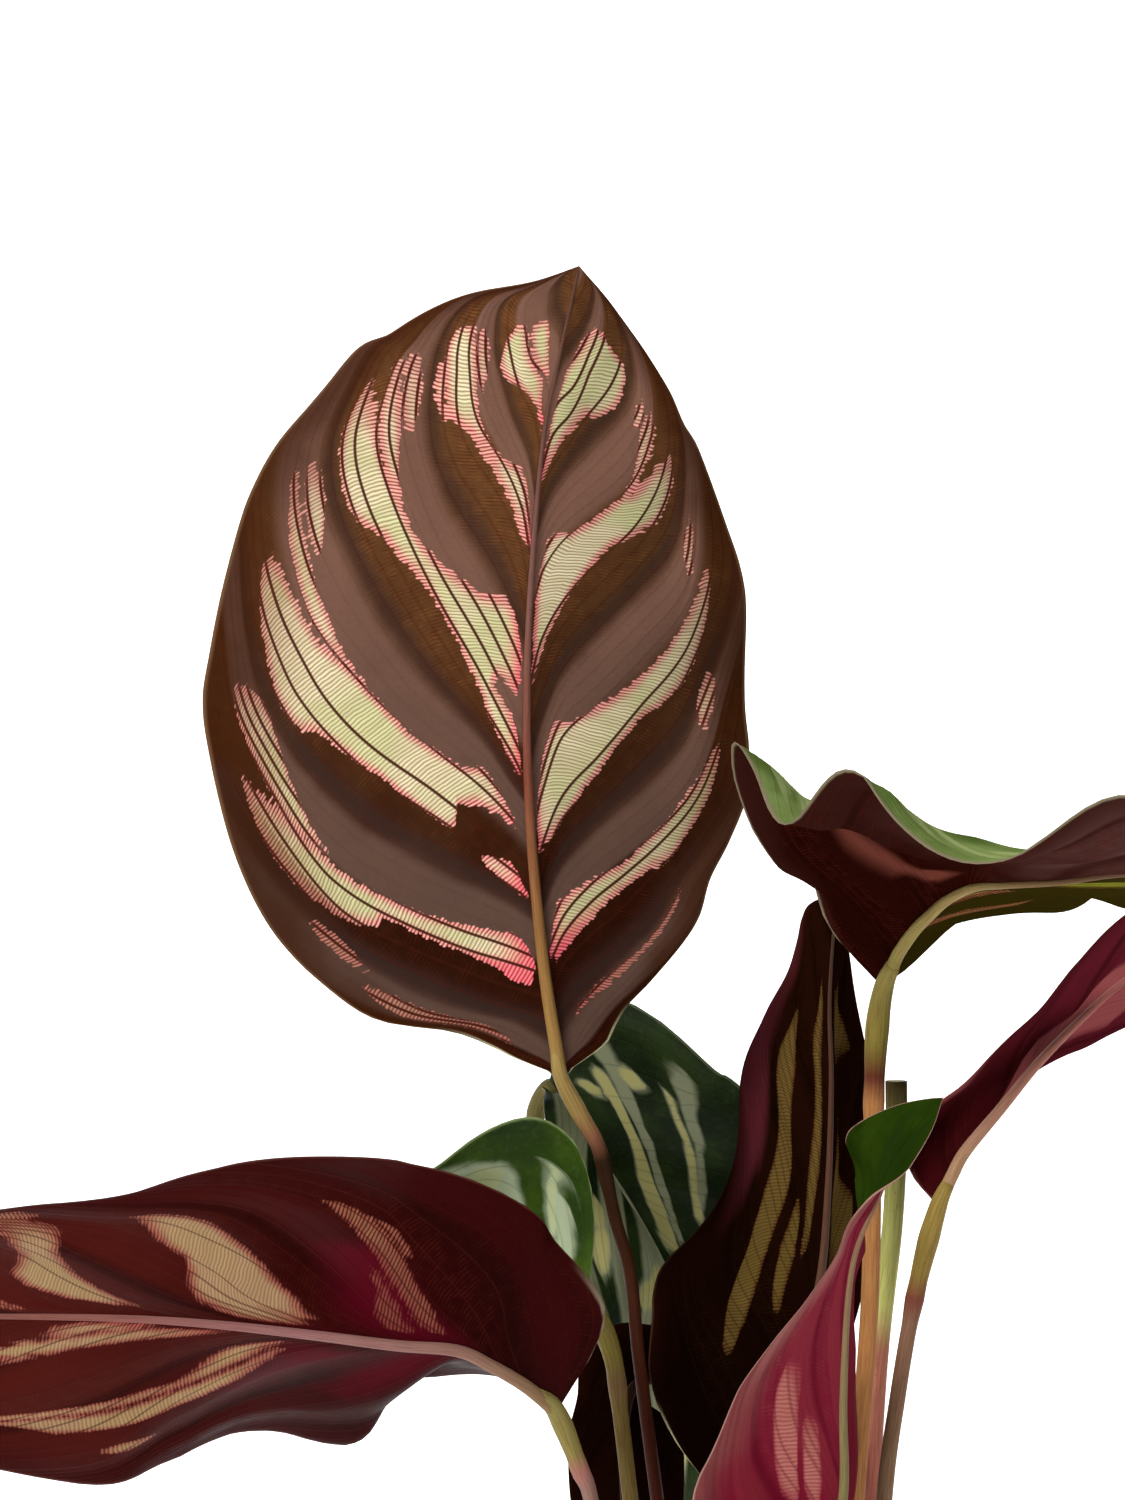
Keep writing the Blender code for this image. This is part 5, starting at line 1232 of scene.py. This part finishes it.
def scatter(name, kind):
    # small lumps: an icosahedron's points pushed in or out, stretched, turned any way, flattened to the share
    # upright and laid on the mix
    rng = np.random.default_rng(kind["seed"])
    count, stretch, golden = kind["count"], np.array(kind["stretch"]), (1 + 5**0.5) / 2
    corners = unit(np.array([
        (-1, golden, 0), (1, golden, 0), (-1, -golden, 0), (1, -golden, 0), (0, -1, golden), (0, 1, golden),
        (0, -1, -golden), (0, 1, -golden), (golden, 0, -1), (golden, 0, 1), (-golden, 0, -1),
        (-golden, 0, 1)]))
    faces = np.array([
        (0, 11, 5), (0, 5, 1), (0, 1, 7), (0, 7, 10), (0, 10, 11), (1, 5, 9), (5, 11, 4), (11, 10, 2),
        (10, 7, 6), (7, 1, 8), (3, 9, 4), (3, 4, 2), (3, 2, 6), (3, 6, 8), (3, 8, 9), (4, 9, 5), (2, 4, 11),
        (6, 2, 10), (8, 6, 7), (9, 8, 1)])
    size = rng.uniform(*kind["sizes"], (count, 1, 1))
    lumps = corners[None] * rng.uniform(0.65, 1.2, (count, 12, 1)) * size * stretch
    frames = np.linalg.qr(rng.normal(size=(count, 3, 3)))[0]
    frames[:, 2, :] *= kind["upright"]
    lumps = np.einsum("nij,nkj->nki", frames, lumps)
    far = looseReach * np.sqrt(rng.uniform(0, 1, count))
    angle = rng.uniform(0, 2 * np.pi, count)
    x, y = far * np.cos(angle), far * np.sin(angle)
    points = (lumps + np.stack([x, y, mixHeight(x, y)], -1)[:, None]) * mm
    triangles = faces[None] + 12 * np.arange(count)[:, None, None]
    quads = np.concatenate([triangles, triangles[..., 2:]], -1).reshape(-1, 4)
    tone = np.repeat(rng.uniform(0, 1, (count, 1)), 12, axis=0) * np.ones(3)
    lumpsPiece = putMesh(name, points.reshape(-1, 3), quads, {"crumbMap": tone}, smooth=False)
    lumpsPiece.data.materials.append(mixMaterial(kind["skin"], kind))
    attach(lumpsPiece, "root")


buildMix()
for looseName, looseKind in looseKinds.items():
    scatter(looseName, looseKind)
print("potting mix made")

# Studio in metres and watts: a backdrop that glows a little, three lamps and a faint white world
studio = {
    "depth": 1.6, "floorFront": -1.6, "width": 4.0, "bend": 0.6, "height": 2.6, "paper": (0.92, 0.92, 0.92),
    "glow": 0.7, "world": 0.15,
}
lamps = {
    "keyLight": {"place": (-1.0, -1.0, 1.6), "target": (0, 0, 0.33), "size": 0.6, "power": 44},
    "fillLight": {"place": (1.2, -1.3, 0.7), "target": (0, 0, 0.33), "size": 1.2, "power": 6},
    "backLight": {"place": (0.3, 1.0, 1.5), "target": (0, 0.2, 0.33), "size": 1.0, "power": 8},
}
cameraValues = {"place": (-0.0446, -0.650, 0.396), "lens": 72.6, "sensor": 36}


def buildBackdrop():
    # floor that turns up into a wall: a straight run, a quarter circle and a straight rise
    turn = np.linspace(0, np.pi / 2, 24)
    depth, bend = studio["depth"], studio["bend"]
    y = np.concatenate([[studio["floorFront"]], depth - bend + bend * np.sin(turn), [depth]])
    z = np.concatenate([[0], bend * (1 - np.cos(turn)), [studio["height"]]])
    x = np.array([-1, 1]) * studio["width"] / 2
    points = np.stack([np.tile(x, len(y)), np.repeat(y, 2), np.repeat(z, 2)], -1)
    backdrop = putMesh("backdrop", points, gridQuads(len(y), 2))
    make = NodeMaker("backdrop_paper")
    make.put(make.shader.inputs["Emission Color"], (1, 1, 1))
    make.put(make.shader.inputs["Emission Strength"], studio["glow"])
    backdrop.data.materials.append(make.finish(studio["paper"], 0.9))


def addLamp(name, values):
    # a square lamp that points from its place to its target
    lamp = bpy.data.lights.new(name, "AREA")
    lamp.size, lamp.energy = values["size"], values["power"]
    piece = bpy.data.objects.new(name, lamp)
    bpy.context.scene.collection.objects.link(piece)
    piece.location = values["place"]
    direction = Vector(values["target"]) - Vector(values["place"])
    piece.rotation_euler = direction.to_track_quat("-Z", "Y").to_euler()


buildBackdrop()
for lampName, lampValues in lamps.items():
    addLamp(lampName, lampValues)

world = bpy.data.worlds.new("studioWorld")
world.use_nodes = True
world.node_tree.nodes["Background"].inputs[0].default_value = (1, 1, 1, 1)
world.node_tree.nodes["Background"].inputs[1].default_value = studio["world"]
bpy.context.scene.world = world
bpy.context.scene.view_settings.view_transform = "Standard"

camera = bpy.data.cameras.new("photoCamera")
camera.lens, camera.sensor_width = cameraValues["lens"], cameraValues["sensor"]
cameraObject = bpy.data.objects.new("photoCamera", camera)
cameraObject.location = cameraValues["place"]
cameraObject.rotation_euler = (np.pi / 2, 0, 0)
bpy.context.scene.collection.objects.link(cameraObject)
bpy.context.scene.camera = cameraObject
print("studio made")
